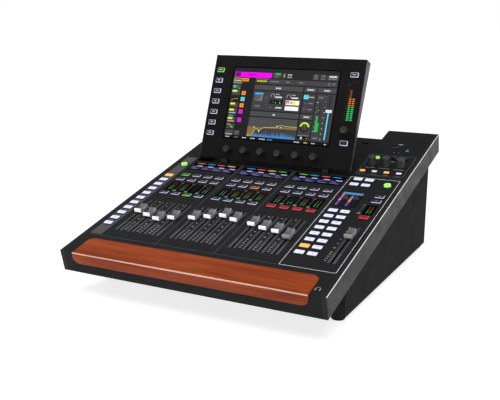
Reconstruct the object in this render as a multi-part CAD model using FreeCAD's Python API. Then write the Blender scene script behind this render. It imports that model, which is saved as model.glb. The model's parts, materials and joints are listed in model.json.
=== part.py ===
import FreeCAD, Part
import math
import os

from FreeCAD import Placement, Rotation, Vector

os.makedirs("parts", exist_ok=True)

# A compact mixing console. All sizes are in millimetres.
# World frame: +X right, +Y back, +Z up, origin on the floor under the middle of the object.
# Surface frame: x right, y up the sloping control surface, z out of it, origin at the middle of
# the surface's front top edge. Display frame: the same on the display's face, origin at the
# middle of its lower edge.

# ---- driving dimensions ----
WIDTH = 462.0
SLOPE_LENGTH = 596.0
SLOPE_DEG = 14.25
FRONT_EDGE_Y = -291.5
FRONT_EDGE_Z = 73.5
BAND_DEPTH = 37.5
CHEEK_THICK = 8.0
GAP = 0.1
SHEET = 2.0

# Steel base tub under the surface.
TUB_FRONT_Y = -194.4
TUB_REAR_Y = 251.4
TUB_BOTTOM_Z = 7.2
TUB_SHEET = 1.5
FOOT_RADIUS = 11.0

# Palm rest and front shell.
SHELL_LENGTH = 59.4
SHELL_WALL = 3.0
REST_HALF_WIDTH = 204.2
REST_FRONT = -4.5
REST_BACK = 47.6
REST_TOP = 1.2
REST_BOTTOM = -18.7
REST_CORNER = 12.0

# Faders.
TRAVEL = 100.0
SLOT_FRONT = 84.2
SLOT_LENGTH = 112.0
SLOT_WIDTH = 3.0
CHANNEL_PITCH = 24.1
BANK_CENTRES = (-139.1, -31.4, 76.3)
MAIN_X = 204.4
CAP_WIDTH = 12.6
CAP_LENGTH = 24.0
CAP_CENTRES = (155.0, 146.0, 137.5, 147.5, 156.5, 167.0, 177.0, 169.0, 163.5, 156.0, 152.0, 140.5)
MAIN_CAP_CENTRE = 166.5
ROD_RADIUS = 1.5
ROD_DEPTH = -14.0
MOTOR_RADIUS = 9.0
MOTOR_Y = SLOT_FRONT + SLOT_LENGTH + 18.5
RUNNING_FIT = 0.08

# Buttons. Travel is 1 mm, so 0.35 mm of side clearance and an open end below.
BUTTON_WIDTH = 16.4
BUTTON_LENGTH = 10.4
BUTTON_STAND = 2.4
BUTTON_DEEP = 4.2
BUTTON_CLEAR = 0.35
BUTTON_CORNER = 1.4
SMALL_BUTTON = (12.4, 9.4)
LAYER_X = -206.3
LAYER_Y0 = 99.9
LAYER_PITCH = 19.6
LAYER_COUNT = 11
SELECT_Y = 306.0
SOLO_Y = 286.0
MUTE_Y = 228.8
BLOCK_X = (147.9, 168.8)
BLOCK_Y0 = 99.6
BLOCK_PITCH = 19.9
BLOCK_ROWS = 8
MENU_Y = (340.7, 361.8)
SIDE_PAIR = ((206.0, 286.5), (206.0, 304.7))
MONITOR_Y = 399.3
MONITOR_X0 = 142.8
MONITOR_PITCH = 22.4
ROUND_PLACES = ((-205.7, 350.5, 7.0), (204.6, 351.0, 7.0), (151.0, 461.4, 5.0))

# Windows in the surface: centre x, low y, high y, half width.
STRIP_Y = (330.5, 367.5)
STRIP_HALF = 49.0
METER_Y = (239.0, 275.0)
METER_HALF = 45.5
MAIN_METER_HALF = 9.0
SCREEN_X = (139.3, 177.7)
SCREEN_Y = (258.5, 312.5)
PANE = 1.8

# Monitor knobs.
KNOB_XS = (150.5, 177.5, 204.5)
KNOB_Y = 430.0
KNOB_RADIUS = 7.6
KNOB_TOP = 17.0
SHAFT_RADIUS = 3.0
TALK_HOLES = (177.0, 505.0)
PORT_PLACES = ((178.5, 464.5), (203.7, 464.5))

# Display bay.
BAY_X = (-190.0, 130.0)
BAY_FRONT = 372.5
BAY_DEEP = 20.0
BAY_SHEET = 1.5
CABLE_SLOT = (88.0, 569.0)

# Display head.
HEAD_WIDTH = 311.0
HEAD_HEIGHT = 205.4
HEAD_TILT = 69.4
HEAD_X = -26.8
HEAD_FOOT = (371.7, 10.7)
HEAD_THIN = 8.1
HEAD_THICK = 22.6
BEZEL = 3.0
BACK_WALL = 2.0
LCD_X = (-110.5, 108.0)
LCD_Y = (41.5, 181.0)
HEAD_KNOB_XS = (-92.6, -56.9, -21.2, 14.5, 50.2, 85.9)
HEAD_KNOB_Y = 17.5
SIDE_KNOB = (136.2, 71.0)
HEAD_KNOB_RADIUS = 6.8
HEAD_KNOB_TOP = 14.5
HEAD_BUTTON_X = -140.4
HEAD_BUTTON_Y0 = 48.4
HEAD_BUTTON_PITCH = 21.1
HEAD_BUTTON_COUNT = 7
HEAD_RIGHT_BUTTONS = ((136.4, 175.8), (136.4, 48.8))
HEAD_BUTTON = (15.0, 9.0)

# Hinge, in the display frame: y below the lower edge, z behind the face.
PIVOT = (-12.0, -17.0)
ARM_XS = (-105.0, 105.0)
ARM_THICK = 12.0
EAR_THICK = 4.0
EAR_RADIUS = 5.5
PIN_RADIUS = 3.0

# Rear panel sockets.
SOCKET_X0 = -8.0
SOCKET_PITCH = 30.0
SOCKET_COLUMNS = 8
SOCKET_ZS = (35.0, 70.0, 105.0, 140.0)
FLANGE = (26.0, 31.0)
BARREL_RADIUS = 11.5
JACK_X0 = -122.0
JACK_PITCH = 24.0
JACK_ZS = (115.0, 142.0)
JACK_NUT = 6.0
JACK_BORE = 3.25
JACK_BORE_LENGTH = 16.0
PORT_X0 = -116.0
PORT_Z = 80.0
INLET = (-185.0, 42.0)
SWITCH = (-185.0, 84.0)
SWITCH_TILT = 8.0
SWITCH_DEPTH = 4.0
SWITCH_PIN = 1.5
COVER_PLATE = (-86.0, 38.0)
PLATE = 1.6
SCREW_RADIUS = 2.6
SCREW_HEIGHT = 1.3

# Boards under the surface: top and underside, below the surface.
BOARD_TOP = -7.0
BOARD_UNDERSIDE = -8.6
CHIP_HEIGHT = 2.4

SIN = math.sin(math.radians(SLOPE_DEG))
COS = math.cos(math.radians(SLOPE_DEG))
HALF = WIDTH / 2.0
INNER = HALF - CHEEK_THICK - GAP
PANEL_FACE = TUB_REAR_Y + GAP + TUB_SHEET

SURFACE = Placement(Vector(0, FRONT_EDGE_Y, FRONT_EDGE_Z), Rotation(Vector(1, 0, 0), SLOPE_DEG))
HEAD = Placement(SURFACE.multVec(Vector(HEAD_X, HEAD_FOOT[0], HEAD_FOOT[1])),
                 Rotation(Vector(1, 0, 0), HEAD_TILT))


# ---- shape helpers ----
def slab(x0, x1, y0, y1, z0, z1):
    """Box between two opposite corners."""
    return Part.makeBox(x1 - x0, y1 - y0, z1 - z0, Vector(x0, y0, z0))


def centred_slab(x, y, width, length, z0, z1):
    """Box centred on (x, y)."""
    return slab(x - width / 2, x + width / 2, y - length / 2, y + length / 2, z0, z1)


def rounded_slab(x, y, width, length, z0, z1, radius):
    """Box centred on (x, y) with its upright edges rounded."""
    block = centred_slab(x, y, width, length, z0, z1)
    upright = [edge for edge in block.Edges if abs(edge.Vertexes[0].Z - edge.Vertexes[1].Z) > 0.01]
    return block.makeFillet(radius, upright)


def post(x, y, radius, z0, z1):
    """Round post along z."""
    return Part.makeCylinder(radius, z1 - z0, Vector(x, y, z0))


def rod_x(y, z, radius, x0, x1):
    """Round rod along x."""
    return Part.makeCylinder(radius, x1 - x0, Vector(x0, y, z), Vector(1, 0, 0))


def rod_y(x, z, radius, y0, y1):
    """Round rod along y."""
    return Part.makeCylinder(radius, y1 - y0, Vector(x, y0, z), Vector(0, 1, 0))


def side_profile(points, x0, x1):
    """Outline of (y, z) points, extruded along x."""
    corners = [Vector(x0, y, z) for y, z in points]
    face = Part.Face(Part.makePolygon(corners + corners[:1]))
    return face.extrude(Vector(x1 - x0, 0, 0))


def place(shape, placement):
    return shape.transformed(placement.toMatrix(), True)


def export(node, *shapes):
    """Write one node; a node of several pieces is a compound of separate solids."""
    whole = shapes[0] if len(shapes) == 1 else Part.makeCompound(list(shapes))
    whole.exportStep("parts/" + node + ".step")


def export_on(placement, node, *shapes):
    export(node, *[place(shape, placement) for shape in shapes])


def world_z(y, depth):
    """World height of the plane that lies `depth` under the surface, at world y."""
    return FRONT_EDGE_Z + (y - FRONT_EDGE_Y) * SIN / COS - depth / COS


def fader_xs():
    """x of the channel faders, bank by bank."""
    return [centre + CHANNEL_PITCH * (k - 1.5) for centre in BANK_CENTRES for k in range(4)]


# ---- button places ----
def row_places(y):
    return [(x, y) for x in fader_xs()]


def layer_places():
    return [(LAYER_X, LAYER_Y0 + LAYER_PITCH * k) for k in range(LAYER_COUNT)]


def block_places():
    return [(x, BLOCK_Y0 + BLOCK_PITCH * k) for x in BLOCK_X for k in range(BLOCK_ROWS)]


def menu_places():
    return [(x, y) for x in BLOCK_X for y in MENU_Y]


def monitor_places():
    return [(MONITOR_X0 + MONITOR_PITCH * k, MONITOR_Y) for k in range(4)]


def full_size_places():
    places = row_places(SELECT_Y) + row_places(SOLO_Y) + row_places(MUTE_Y) + [(MAIN_X, MUTE_Y)]
    return places + layer_places() + block_places() + menu_places()


def small_places():
    return monitor_places() + list(SIDE_PAIR)


def head_button_places():
    column = [(HEAD_BUTTON_X, HEAD_BUTTON_Y0 + HEAD_BUTTON_PITCH * k) for k in range(HEAD_BUTTON_COUNT)]
    return column + list(HEAD_RIGHT_BUTTONS)


def button(x, y, width, length):
    """Keycap with a wider foot that holds it under the panel."""
    cap = rounded_slab(x, y, width, length, -BUTTON_DEEP + 1.0, BUTTON_STAND, BUTTON_CORNER)
    foot = centred_slab(x, y, width + 2.0, length + 2.0, -BUTTON_DEEP, -BUTTON_DEEP + 1.0)
    return cap.fuse(foot).removeSplitter()


def round_button(x, y, radius):
    cap = post(x, y, radius, -BUTTON_DEEP + 1.0, BUTTON_STAND)
    return cap.fuse(post(x, y, radius + 1.0, -BUTTON_DEEP, -BUTTON_DEEP + 1.0)).removeSplitter()


# ---- control surface ----
def window_places():
    """Centre x, centre y, width and length of each window."""
    places = []
    for centre in BANK_CENTRES:
        places.append((centre, sum(STRIP_Y) / 2, 2 * STRIP_HALF, STRIP_Y[1] - STRIP_Y[0]))
        places.append((centre, sum(METER_Y) / 2, 2 * METER_HALF, METER_Y[1] - METER_Y[0]))
    places.append((MAIN_X, sum(METER_Y) / 2, 2 * MAIN_METER_HALF, METER_Y[1] - METER_Y[0]))
    places.append((sum(SCREEN_X) / 2, sum(SCREEN_Y) / 2, SCREEN_X[1] - SCREEN_X[0],
                   SCREEN_Y[1] - SCREEN_Y[0]))
    return places


def panel_cutters():
    cutters = [slab(BAY_X[0], BAY_X[1], BAY_FRONT, SLOPE_LENGTH + 1, -SHEET - 1, 1)]
    for x in fader_xs() + [MAIN_X]:
        cutters.append(slab(x - SLOT_WIDTH / 2, x + SLOT_WIDTH / 2, SLOT_FRONT, SLOT_FRONT + SLOT_LENGTH,
                            -SHEET - 1, 1))
    room = 2 * BUTTON_CLEAR
    for x, y in full_size_places():
        cutters.append(rounded_slab(x, y, BUTTON_WIDTH + room, BUTTON_LENGTH + room, -SHEET - 1, 1,
                                    BUTTON_CORNER + BUTTON_CLEAR))
    for x, y in small_places():
        cutters.append(rounded_slab(x, y, SMALL_BUTTON[0] + room, SMALL_BUTTON[1] + room, -SHEET - 1, 1,
                                    BUTTON_CORNER + BUTTON_CLEAR))
    for x, y, radius in ROUND_PLACES:
        cutters.append(post(x, y, radius + BUTTON_CLEAR, -SHEET - 1, 1))
    for x, y, width, length in window_places():
        cutters.append(centred_slab(x, y, width, length, -SHEET - 1, 1))
    for x in KNOB_XS:
        cutters.append(post(x, KNOB_Y, SHAFT_RADIUS + 0.4, -SHEET - 1, 1))
    for x, y in PORT_PLACES:
        cutters.append(centred_slab(x, y, 13.4, 5.8, -SHEET - 1, 1))
    return cutters + talk_holes()


def talk_holes():
    """Microphone holes: one in the middle of two rings."""
    x, y = TALK_HOLES
    holes = [post(x, y, 0.8, -SHEET - 1, 1)]
    for ring, count in ((4.0, 6), (8.0, 12)):
        for k in range(count):
            turn = 2 * math.pi * k / count
            holes.append(post(x + ring * math.cos(turn), y + ring * math.sin(turn), 0.8, -SHEET - 1, 1))
    return holes


def make_top_panel():
    sheet = slab(-INNER, INNER, SHELL_LENGTH + 0.2, SLOPE_LENGTH - 0.1, -SHEET, 0)
    export_on(SURFACE, "top_panel", sheet.cut(panel_cutters()))


def make_cheeks():
    """Side bands with a small bevel along both outer edges."""
    bevel = 0.9
    for node, side in (("left_cheek", -1), ("right_cheek", 1)):
        low, high = sorted((side * HALF, side * (HALF - CHEEK_THICK)))
        band = slab(low, high, 0, SLOPE_LENGTH, -BAND_DEPTH, 0)
        outer = [edge for edge in band.Edges
                 if all(abs(corner.X - side * HALF) < 0.01 for corner in edge.Vertexes)
                 and abs(edge.Vertexes[0].Y - edge.Vertexes[1].Y) > 1]
        export_on(SURFACE, node, band.makeChamfer(bevel, outer))


def palm_rest(grow):
    """The palm rest's form, `grow` larger all round: the meet of its plan, front and side outlines."""
    half = REST_HALF_WIDTH + grow
    front, back = REST_FRONT - grow, REST_BACK + grow
    low, high = REST_BOTTOM - grow, REST_TOP + grow
    nose = 4.0
    corner = REST_CORNER + grow
    block = slab(-half, half, front, back, low, high)
    plan = [edge for edge in block.Edges
            if all(abs(point.Y - back) < 0.01 for point in edge.Vertexes)
            and abs(edge.Vertexes[0].Z - edge.Vertexes[1].Z) > 1]
    planned = block.makeFillet(corner, plan)
    face = slab(-half, half, front, back, low, high)
    lower = [edge for edge in face.Edges
             if all(abs(point.Z - low) < 0.01 for point in edge.Vertexes)
             and abs(edge.Vertexes[0].Y - edge.Vertexes[1].Y) > 1]
    faced = face.makeFillet(corner, lower)
    side = slab(-half, half, front, back, low, high)
    top_front = [edge for edge in side.Edges
                 if all(abs(point.Z - high) < 0.01 and abs(point.Y - front) < 0.01
                        for point in edge.Vertexes)]
    sided = side.makeFillet(nose, top_front)
    return planned.common(faced).common(sided)


def make_front():
    """Front shell with a pocket for the wooden rest and a lip that reaches the base tub."""
    body = slab(-INNER, INNER, 0, SHELL_LENGTH, -BAND_DEPTH, 0)
    hollow = slab(-INNER + SHELL_WALL, INNER - SHELL_WALL, SHELL_WALL, SHELL_LENGTH + 1,
                  -BAND_DEPTH + SHELL_WALL, -SHELL_WALL)
    hollow = hollow.cut(palm_rest(SHELL_WALL))
    socket = headphone_place()
    lip = slab(-INNER, INNER, SHELL_LENGTH, SHELL_LENGTH + 31.0, -BAND_DEPTH, -BAND_DEPTH + SHELL_WALL)
    shell = body.cut(hollow).fuse(lip).cut(palm_rest(0.25))
    shell = shell.cut(post(socket[0], socket[1], 4.5, -BAND_DEPTH - 1, -BAND_DEPTH + SHELL_WALL + 1))
    export_on(SURFACE, "front_shell", shell.removeSplitter())
    export_on(SURFACE, "armrest", palm_rest(0))


def headphone_place():
    """Surface (x, y) of the headphone jack, which opens downwards through the front shell."""
    return (HALF - 19.0, 16.0)


def make_windows():
    panes = [centred_slab(x, y, width - 0.2, length - 0.2, -PANE, -0.1)
             for x, y, width, length in window_places()]
    export_on(SURFACE, "window_panes", *panes)
    screens = [slab(centre - STRIP_HALF + 1, centre + STRIP_HALF - 1, STRIP_Y[0] + 2, STRIP_Y[0] + 23,
                    -5.5, -SHEET - 0.1) for centre in BANK_CENTRES]
    screens.append(slab(SCREEN_X[0], SCREEN_X[1], SCREEN_Y[0], SCREEN_Y[1], -5.5, -SHEET - 0.1))
    export_on(SURFACE, "small_screens", *screens)


def make_buttons():
    wide, long = BUTTON_WIDTH, BUTTON_LENGTH
    rows = {
        "layer_buttons": layer_places(),
        "select_buttons": row_places(SELECT_Y),
        "solo_buttons": row_places(SOLO_Y),
        "mute_buttons": row_places(MUTE_Y) + [(MAIN_X, MUTE_Y)],
        "block_buttons": block_places(),
    }
    for node, places in rows.items():
        export_on(SURFACE, node, *[button(x, y, wide, long) for x, y in places])
    menu = [button(x, y, wide, long) for x, y in menu_places()]
    menu += [button(x, y, *SMALL_BUTTON) for x, y in small_places()]
    export_on(SURFACE, "menu_buttons", *menu)
    export_on(SURFACE, "round_buttons", *[round_button(x, y, radius) for x, y, radius in ROUND_PLACES])


# ---- faders ----
def fader_cap(x, y):
    """Finger cap: steep ends and a hollow across its top."""
    half = CAP_LENGTH / 2
    foot, top, dip = 1.2, 9.8, 7.4
    corners = [Vector(x - CAP_WIDTH / 2, y + dy, z) for dy, z in
               ((-half + 0.8, top), (-half, foot), (half, foot), (half - 0.8, top))]
    edges = [Part.makeLine(corners[k], corners[k + 1]) for k in range(3)]
    middle = Vector(x - CAP_WIDTH / 2, y, dip)
    edges.append(Part.Arc(corners[3], middle, corners[0]).toShape())
    return Part.Face(Part.Wire(edges)).extrude(Vector(CAP_WIDTH, 0, 0))


def fader_lever(x, y):
    """Blade through the slot on a carriage that runs on the guide rod."""
    blade = slab(x - 0.9, x + 0.9, y - 4, y + 4, -11.5, 5.0)
    carriage = slab(x - 3, x + 3, y - 5, y + 5, -17, -11)
    bore = rod_y(x, ROD_DEPTH, ROD_RADIUS + RUNNING_FIT, y - 6, y + 6)
    return blade.fuse(carriage).cut(bore).removeSplitter()


def make_faders():
    names = ["fader_%d" % (k + 1) for k in range(len(CAP_CENTRES))] + ["main_fader"]
    for node, x, y in zip(names, fader_xs() + [MAIN_X], list(CAP_CENTRES) + [MAIN_CAP_CENTRE]):
        lever = fader_lever(x, y)
        export_on(SURFACE, node, fader_cap(x, y).cut(lever), lever)


def fader_frame(x):
    """Open-topped channel that holds the guide rod."""
    low, high = SLOT_FRONT - 8, SLOT_FRONT + SLOT_LENGTH + 8
    shell = slab(x - 6.5, x + 6.5, low, high, -30, -SHEET - 0.1)
    return shell.cut(slab(x - 4.8, x + 4.8, low + 4, high - 4, -28, 0))


def make_fader_units():
    """A frame, a guide rod and a motor can behind each slot."""
    units = []
    for x in fader_xs() + [MAIN_X]:
        units.append(fader_frame(x))
        units.append(rod_y(x, ROD_DEPTH, ROD_RADIUS, SLOT_FRONT - 4, SLOT_FRONT + SLOT_LENGTH + 4))
        units.append(post(x, MOTOR_Y, MOTOR_RADIUS, -36, -11))
    export_on(SURFACE, "fader_units", *units)


# ---- monitor block knobs ----
def knob(x, y, radius, foot, top, shaft_end):
    """Tapered finger knob pressed on its shaft; returns the knob and the shaft."""
    shaft = post(x, y, SHAFT_RADIUS, shaft_end, foot + 0.6 * (top - foot))
    grip = Part.makeCone(radius, radius * 0.93, top - foot, Vector(x, y, foot))
    return grip.cut(shaft), shaft


def encoder(x, y, size, z0, z1):
    """Encoder body with a running fit on the shaft."""
    return centred_slab(x, y, size, size, z0, z1).cut(post(x, y, SHAFT_RADIUS + RUNNING_FIT, z0 - 1, z1 + 1))


def make_monitor_knobs():
    for k, x in enumerate(KNOB_XS):
        export_on(SURFACE, "monitor_knob_%d" % (k + 1), *knob(x, KNOB_Y, KNOB_RADIUS, 0.6, KNOB_TOP, -8.0))


# ---- electronics under the surface ----
def switch_domes(places):
    return [post(x, y, 2.5, BOARD_TOP, -5.6) for x, y in places]


def make_control_board():
    """Board under the buttons, clear of the fader frames, with switches and encoder bodies."""
    top, bottom = BOARD_TOP, BOARD_UNDERSIDE
    front = slab(-218, 218, 64, 369, bottom, top)
    low, high = SLOT_FRONT - 9, SLOT_FRONT + SLOT_LENGTH + 9
    cutters = [slab(x - 7.5, x + 7.5, low, high, bottom - 1, top + 1) for x in fader_xs() + [MAIN_X]]
    cutters += [post(x, MOTOR_Y, MOTOR_RADIUS + 0.6, bottom - 1, top + 1) for x in fader_xs() + [MAIN_X]]
    front = front.cut(cutters)
    block = slab(136, 218, 385, 520, bottom, top)
    block = block.cut([post(x, KNOB_Y, SHAFT_RADIUS + 1, bottom - 1, top + 1) for x in KNOB_XS])
    domes = switch_domes(full_size_places())
    domes += switch_domes(small_places())
    domes += switch_domes([(x, y) for x, y, radius in ROUND_PLACES])
    encoders = [encoder(x, KNOB_Y, 12.0, BOARD_TOP, -SHEET - 0.1) for x in KNOB_XS]
    export_on(SURFACE, "control_board", front, block, *(domes + encoders))


def make_main_board():
    """Board on stand-offs with a few chips and a finned cooler."""
    floor = TUB_BOTTOM_Z + TUB_SHEET
    low, top = 18.0, 19.6
    pieces = [slab(-95, 205, -60, 215, low, top)]
    for x in (-88, 198):
        for y in (-53, 208):
            pieces.append(post(x, y, 3.0, floor, low))
    for x, y, size in ((-50, 20, 27), (10, 20, 27), (70, -10, 19), (70, 60, 19), (150, 20, 23), (150, 120, 23)):
        pieces.append(centred_slab(x, y, size, size, top, top + CHIP_HEIGHT))
    base = slab(-70, 30, 90, 160, top, top + 4)
    fins = [slab(-70 + 12 * k, -66 + 12 * k, 90, 160, top + 3.9, 42) for k in range(9)]
    pieces.append(base.multiFuse(fins).removeSplitter())
    export("main_board", *pieces)


def make_power_supply():
    """Vented steel box on the tub's floor."""
    floor = TUB_BOTTOM_Z + TUB_SHEET
    box = slab(-212, -112, 20, 190, floor, floor + 42)
    slots = [slab(-200, -124, 40 + 16 * k, 44 + 16 * k, floor + 40, floor + 43) for k in range(8)]
    export("power_supply", box.cut(slots))


# ---- display bay ----
def make_bay():
    """Open tray that the display folds down into, with a slot for its cable."""
    low = -BAY_DEEP - BAY_SHEET
    rear = SLOPE_LENGTH - 1.8
    cable_x, cable_y = CABLE_SLOT
    floor = slab(BAY_X[0] - BAY_SHEET, BAY_X[1] + BAY_SHEET, BAY_FRONT - BAY_SHEET, rear, low, -BAY_DEEP)
    floor = floor.cut(rounded_slab(cable_x, cable_y, 16.0, 6.0, low - 1, 0, 2.9))
    left = slab(BAY_X[0] - BAY_SHEET, BAY_X[0], BAY_FRONT - BAY_SHEET, rear, -BAY_DEEP, -SHEET - 0.1)
    right = slab(BAY_X[1], BAY_X[1] + BAY_SHEET, BAY_FRONT - BAY_SHEET, rear, -BAY_DEEP, -SHEET - 0.1)
    front = slab(BAY_X[0], BAY_X[1], BAY_FRONT - BAY_SHEET, BAY_FRONT, -BAY_DEEP, -SHEET - 0.1)
    export_on(SURFACE, "display_bay", floor.multiFuse([left, right, front]).removeSplitter())


def surface_from_head(y, z):
    """Surface-frame (y, z) of a display-frame (y, z) point."""
    point = SURFACE.inverse().multVec(HEAD.multVec(Vector(0, y, z)))
    return point.y, point.z


def make_hinge_brackets():
    """Pairs of ears on base plates, bored for the hinge pins."""
    y, z = surface_from_head(*PIVOT)
    floor = -BAY_DEEP
    gap = 0.3
    pieces = []
    for arm_x in ARM_XS:
        x = HEAD_X + arm_x
        reach = ARM_THICK / 2 + gap + EAR_THICK
        plate = slab(x - reach - 6, x + reach + 6, y - EAR_RADIUS, y + 12, floor, floor + 1.5)
        bracket = plate
        for side in (-1, 1):
            low, high = sorted((x + side * (ARM_THICK / 2 + gap), x + side * reach))
            ear = rod_x(y, z, EAR_RADIUS, low, high)
            ear = ear.fuse(slab(low, high, y - EAR_RADIUS, y + EAR_RADIUS, floor, z))
            bracket = bracket.fuse(ear)
        bore = rod_x(y, z, PIN_RADIUS + RUNNING_FIT, x - reach - 1, x + reach + 1)
        pieces.append(bracket.cut(bore).removeSplitter())
    export_on(SURFACE, "hinge_brackets", *pieces)


# ---- display head ----
def back_depth(y):
    """How far the back shell's outside lies behind the face at height y."""
    return HEAD_THIN + (HEAD_THICK - HEAD_THIN) * y / HEAD_HEIGHT


def make_display_bezel():
    half = HEAD_WIDTH / 2
    plate = slab(-half, half, 0, HEAD_HEIGHT, -BEZEL, 0)
    cutters = [slab(LCD_X[0] - 2, LCD_X[1] + 2, LCD_Y[0] - 2, LCD_Y[1] + 2, -BEZEL - 1, 1)]
    room = 2 * BUTTON_CLEAR
    for x, y in head_button_places():
        cutters.append(rounded_slab(x, y, HEAD_BUTTON[0] + room, HEAD_BUTTON[1] + room, -BEZEL - 1, 1,
                                    BUTTON_CORNER + BUTTON_CLEAR))
    for x, y in head_knob_places():
        cutters.append(post(x, y, SHAFT_RADIUS + 0.4, -BEZEL - 1, 1))
    edge = [line for line in plate.Edges
            if all(abs(point.Z) < 0.01 for point in line.Vertexes)]
    export_on(HEAD, "display_bezel", plate.makeChamfer(0.5, edge).cut(cutters))


def head_knob_places():
    return [(x, HEAD_KNOB_Y) for x in HEAD_KNOB_XS] + [SIDE_KNOB]


def make_display_back():
    """Wedge-shaped shell, thin at its foot, with two flats for the hinge arms."""
    half = HEAD_WIDTH / 2
    front = -BEZEL - 0.05
    outer = side_profile([(0, front), (HEAD_HEIGHT, front), (HEAD_HEIGHT, -HEAD_THICK), (0, -HEAD_THIN)],
                         -half, half)
    wall = BACK_WALL
    inner = side_profile([(wall, front + 1), (HEAD_HEIGHT - wall, front + 1),
                          (HEAD_HEIGHT - wall, -HEAD_THICK + wall), (wall, -back_depth(wall) + wall)],
                         -half + wall, half - wall)
    vents = [slab(-60, 60, 150 + 6 * k, 152.5 + 6 * k, -HEAD_THICK - 1, -10) for k in range(6)]
    export_on(HEAD, "display_back", outer.cut(inner).cut(vents))


def make_display_inside():
    """Screen module, cover glass, and the board with its encoder bodies."""
    glass = slab(LCD_X[0] - 1.9, LCD_X[1] + 1.9, LCD_Y[0] - 1.9, LCD_Y[1] + 1.9, -1.6, -0.2)
    export_on(HEAD, "display_glass", glass)
    screen = slab(LCD_X[0] - 1, LCD_X[1] + 1, LCD_Y[0] - 1, LCD_Y[1] + 1, -6.5, -1.7)
    export_on(HEAD, "display_screen", screen)
    board = slab(-100, 100, 62, 176, -9.6, -8.0)
    strip = slab(-148, -130, 36, 190, -8.0, -7.2)
    right = slab(126, 148, 36, 190, -8.0, -7.2).cut(post(SIDE_KNOB[0], SIDE_KNOB[1], 4.0, -9, -6))
    domes = [post(x, y, 2.2, -7.2, -6.7) for x, y in head_button_places()]
    encoders = [encoder(x, y, 10.0, -6.9, -BEZEL - 0.1) for x, y in head_knob_places()]
    export_on(HEAD, "display_board", board, strip, right, *(domes + encoders))


def head_button(x, y):
    """Flat keycap with a thin foot behind the bezel."""
    cap = rounded_slab(x, y, HEAD_BUTTON[0], HEAD_BUTTON[1], -4.2, 1.0, BUTTON_CORNER)
    foot = centred_slab(x, y, HEAD_BUTTON[0] + 2, HEAD_BUTTON[1] + 2, -5.2, -4.2)
    return cap.fuse(foot).removeSplitter()


def make_display_controls():
    export_on(HEAD, "display_buttons", *[head_button(x, y) for x, y in head_button_places()])
    names = ["display_knob_%d" % (k + 1) for k in range(len(HEAD_KNOB_XS))] + ["display_side_knob"]
    for node, (x, y) in zip(names, head_knob_places()):
        export_on(HEAD, node, *knob(x, y, HEAD_KNOB_RADIUS, 0.6, HEAD_KNOB_TOP, -6.9))


def hinge_arm(x):
    """Arm from the back shell's foot down to the hinge pin."""
    low, high = x - ARM_THICK / 2, x + ARM_THICK / 2
    y, z = PIVOT
    pad = side_profile([(6, -back_depth(6) - 0.05), (52, -back_depth(52) - 0.05), (52, -back_depth(52) - 3),
                        (20, -22), (y + 4, z - EAR_RADIUS), (y, z - EAR_RADIUS), (y, z + EAR_RADIUS),
                        (y + 6, z + EAR_RADIUS), (4, -back_depth(4) - 0.6)], low, high)
    arm = pad.fuse(rod_x(y, z, EAR_RADIUS, low, high))
    return arm.cut(rod_x(y, z, PIN_RADIUS, low - 1, high + 1)).removeSplitter()


def make_hinge_arms():
    export_on(HEAD, "hinge_arms", *[hinge_arm(x) for x in ARM_XS])
    reach = ARM_THICK / 2 + EAR_THICK
    export_on(HEAD, "hinge_pins", *[rod_x(PIVOT[0], PIVOT[1], PIN_RADIUS, x - reach, x + reach)
                                    for x in ARM_XS])


# ---- base tub and rear ----
def make_base_tub():
    """Folded steel tub: floor, front wall and side walls that fill the inside of the cheeks."""
    front, rear, low = TUB_FRONT_Y, TUB_REAR_Y, TUB_BOTTOM_Z
    wall = TUB_SHEET
    under_panel, over_lip, over_skin = SHEET + 0.2, BAND_DEPTH - SHELL_WALL - 0.1, BAND_DEPTH - 1.7

    def at(y, depth):
        """World (y, z) of a surface-frame point."""
        point = SURFACE.multVec(Vector(0, y, -depth))
        return point.y, point.z

    outline = [(front, low), (rear, low), (rear, world_z(rear, over_skin)),
               at(SLOPE_LENGTH - 2, over_skin), at(SLOPE_LENGTH - 2, under_panel),
               at(SHELL_LENGTH + 2, under_panel), at(SHELL_LENGTH + 2, over_lip),
               (front, world_z(front, over_lip))]
    tub = slab(-INNER, INNER, front, rear, low, low + wall)
    tub = tub.fuse(slab(-INNER, INNER, front, front + wall, low, world_z(front, over_lip)))
    for side in (-1, 1):
        edges = sorted((side * INNER, side * (INNER - wall)))
        tub = tub.fuse(side_profile(outline, edges[0], edges[1]))
    vents = [slab(-70 + 10 * k, -65 + 10 * k, -150, -90, low - 1, low + wall + 1) for k in range(14)]
    export("base_tub", tub.cut(vents).removeSplitter())


def socket_places():
    return [(SOCKET_X0 + SOCKET_PITCH * k, z) for z in SOCKET_ZS for k in range(SOCKET_COLUMNS)]


def jack_places():
    return [(JACK_X0 + JACK_PITCH * k, z) for z in JACK_ZS for k in range(4)]


def port_places():
    return [(PORT_X0 + 20.0 * k, PORT_Z) for k in range(4)]


def rear_slab(x, z, width, height, y0, y1):
    """Box centred on (x, z) on the rear panel."""
    return slab(x - width / 2, x + width / 2, y0, y1, z - height / 2, z + height / 2)


def make_rear_panel():
    """Upright socket panel."""
    inside, outside = TUB_REAR_Y + GAP, PANEL_FACE
    sheet = slab(-INNER, INNER, inside, outside, TUB_BOTTOM_Z, world_z(inside, BAND_DEPTH))
    cutters = [rod_y(x, z, BARREL_RADIUS + 0.3, inside - 1, outside + 1) for x, z in socket_places()]
    cutters += [rod_y(x, z, JACK_NUT + 0.2, inside - 1, outside + 1) for x, z in jack_places()]
    cutters += [rear_slab(x, z, 16.4, 14.4, inside - 1, outside + 1) for x, z in port_places()]
    cutters.append(rear_slab(INLET[0], INLET[1], 30.2, 24.2, inside - 1, outside + 1))
    cutters.append(rear_slab(SWITCH[0], SWITCH[1], 24.2, 30.2, inside - 1, outside + 1))
    cutters += [rear_slab(-190 + 8 * k, 130, 3, 36, inside - 1, outside + 1) for k in range(6)]
    export("rear_panel", sheet.cut(cutters).removeSplitter())


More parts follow.
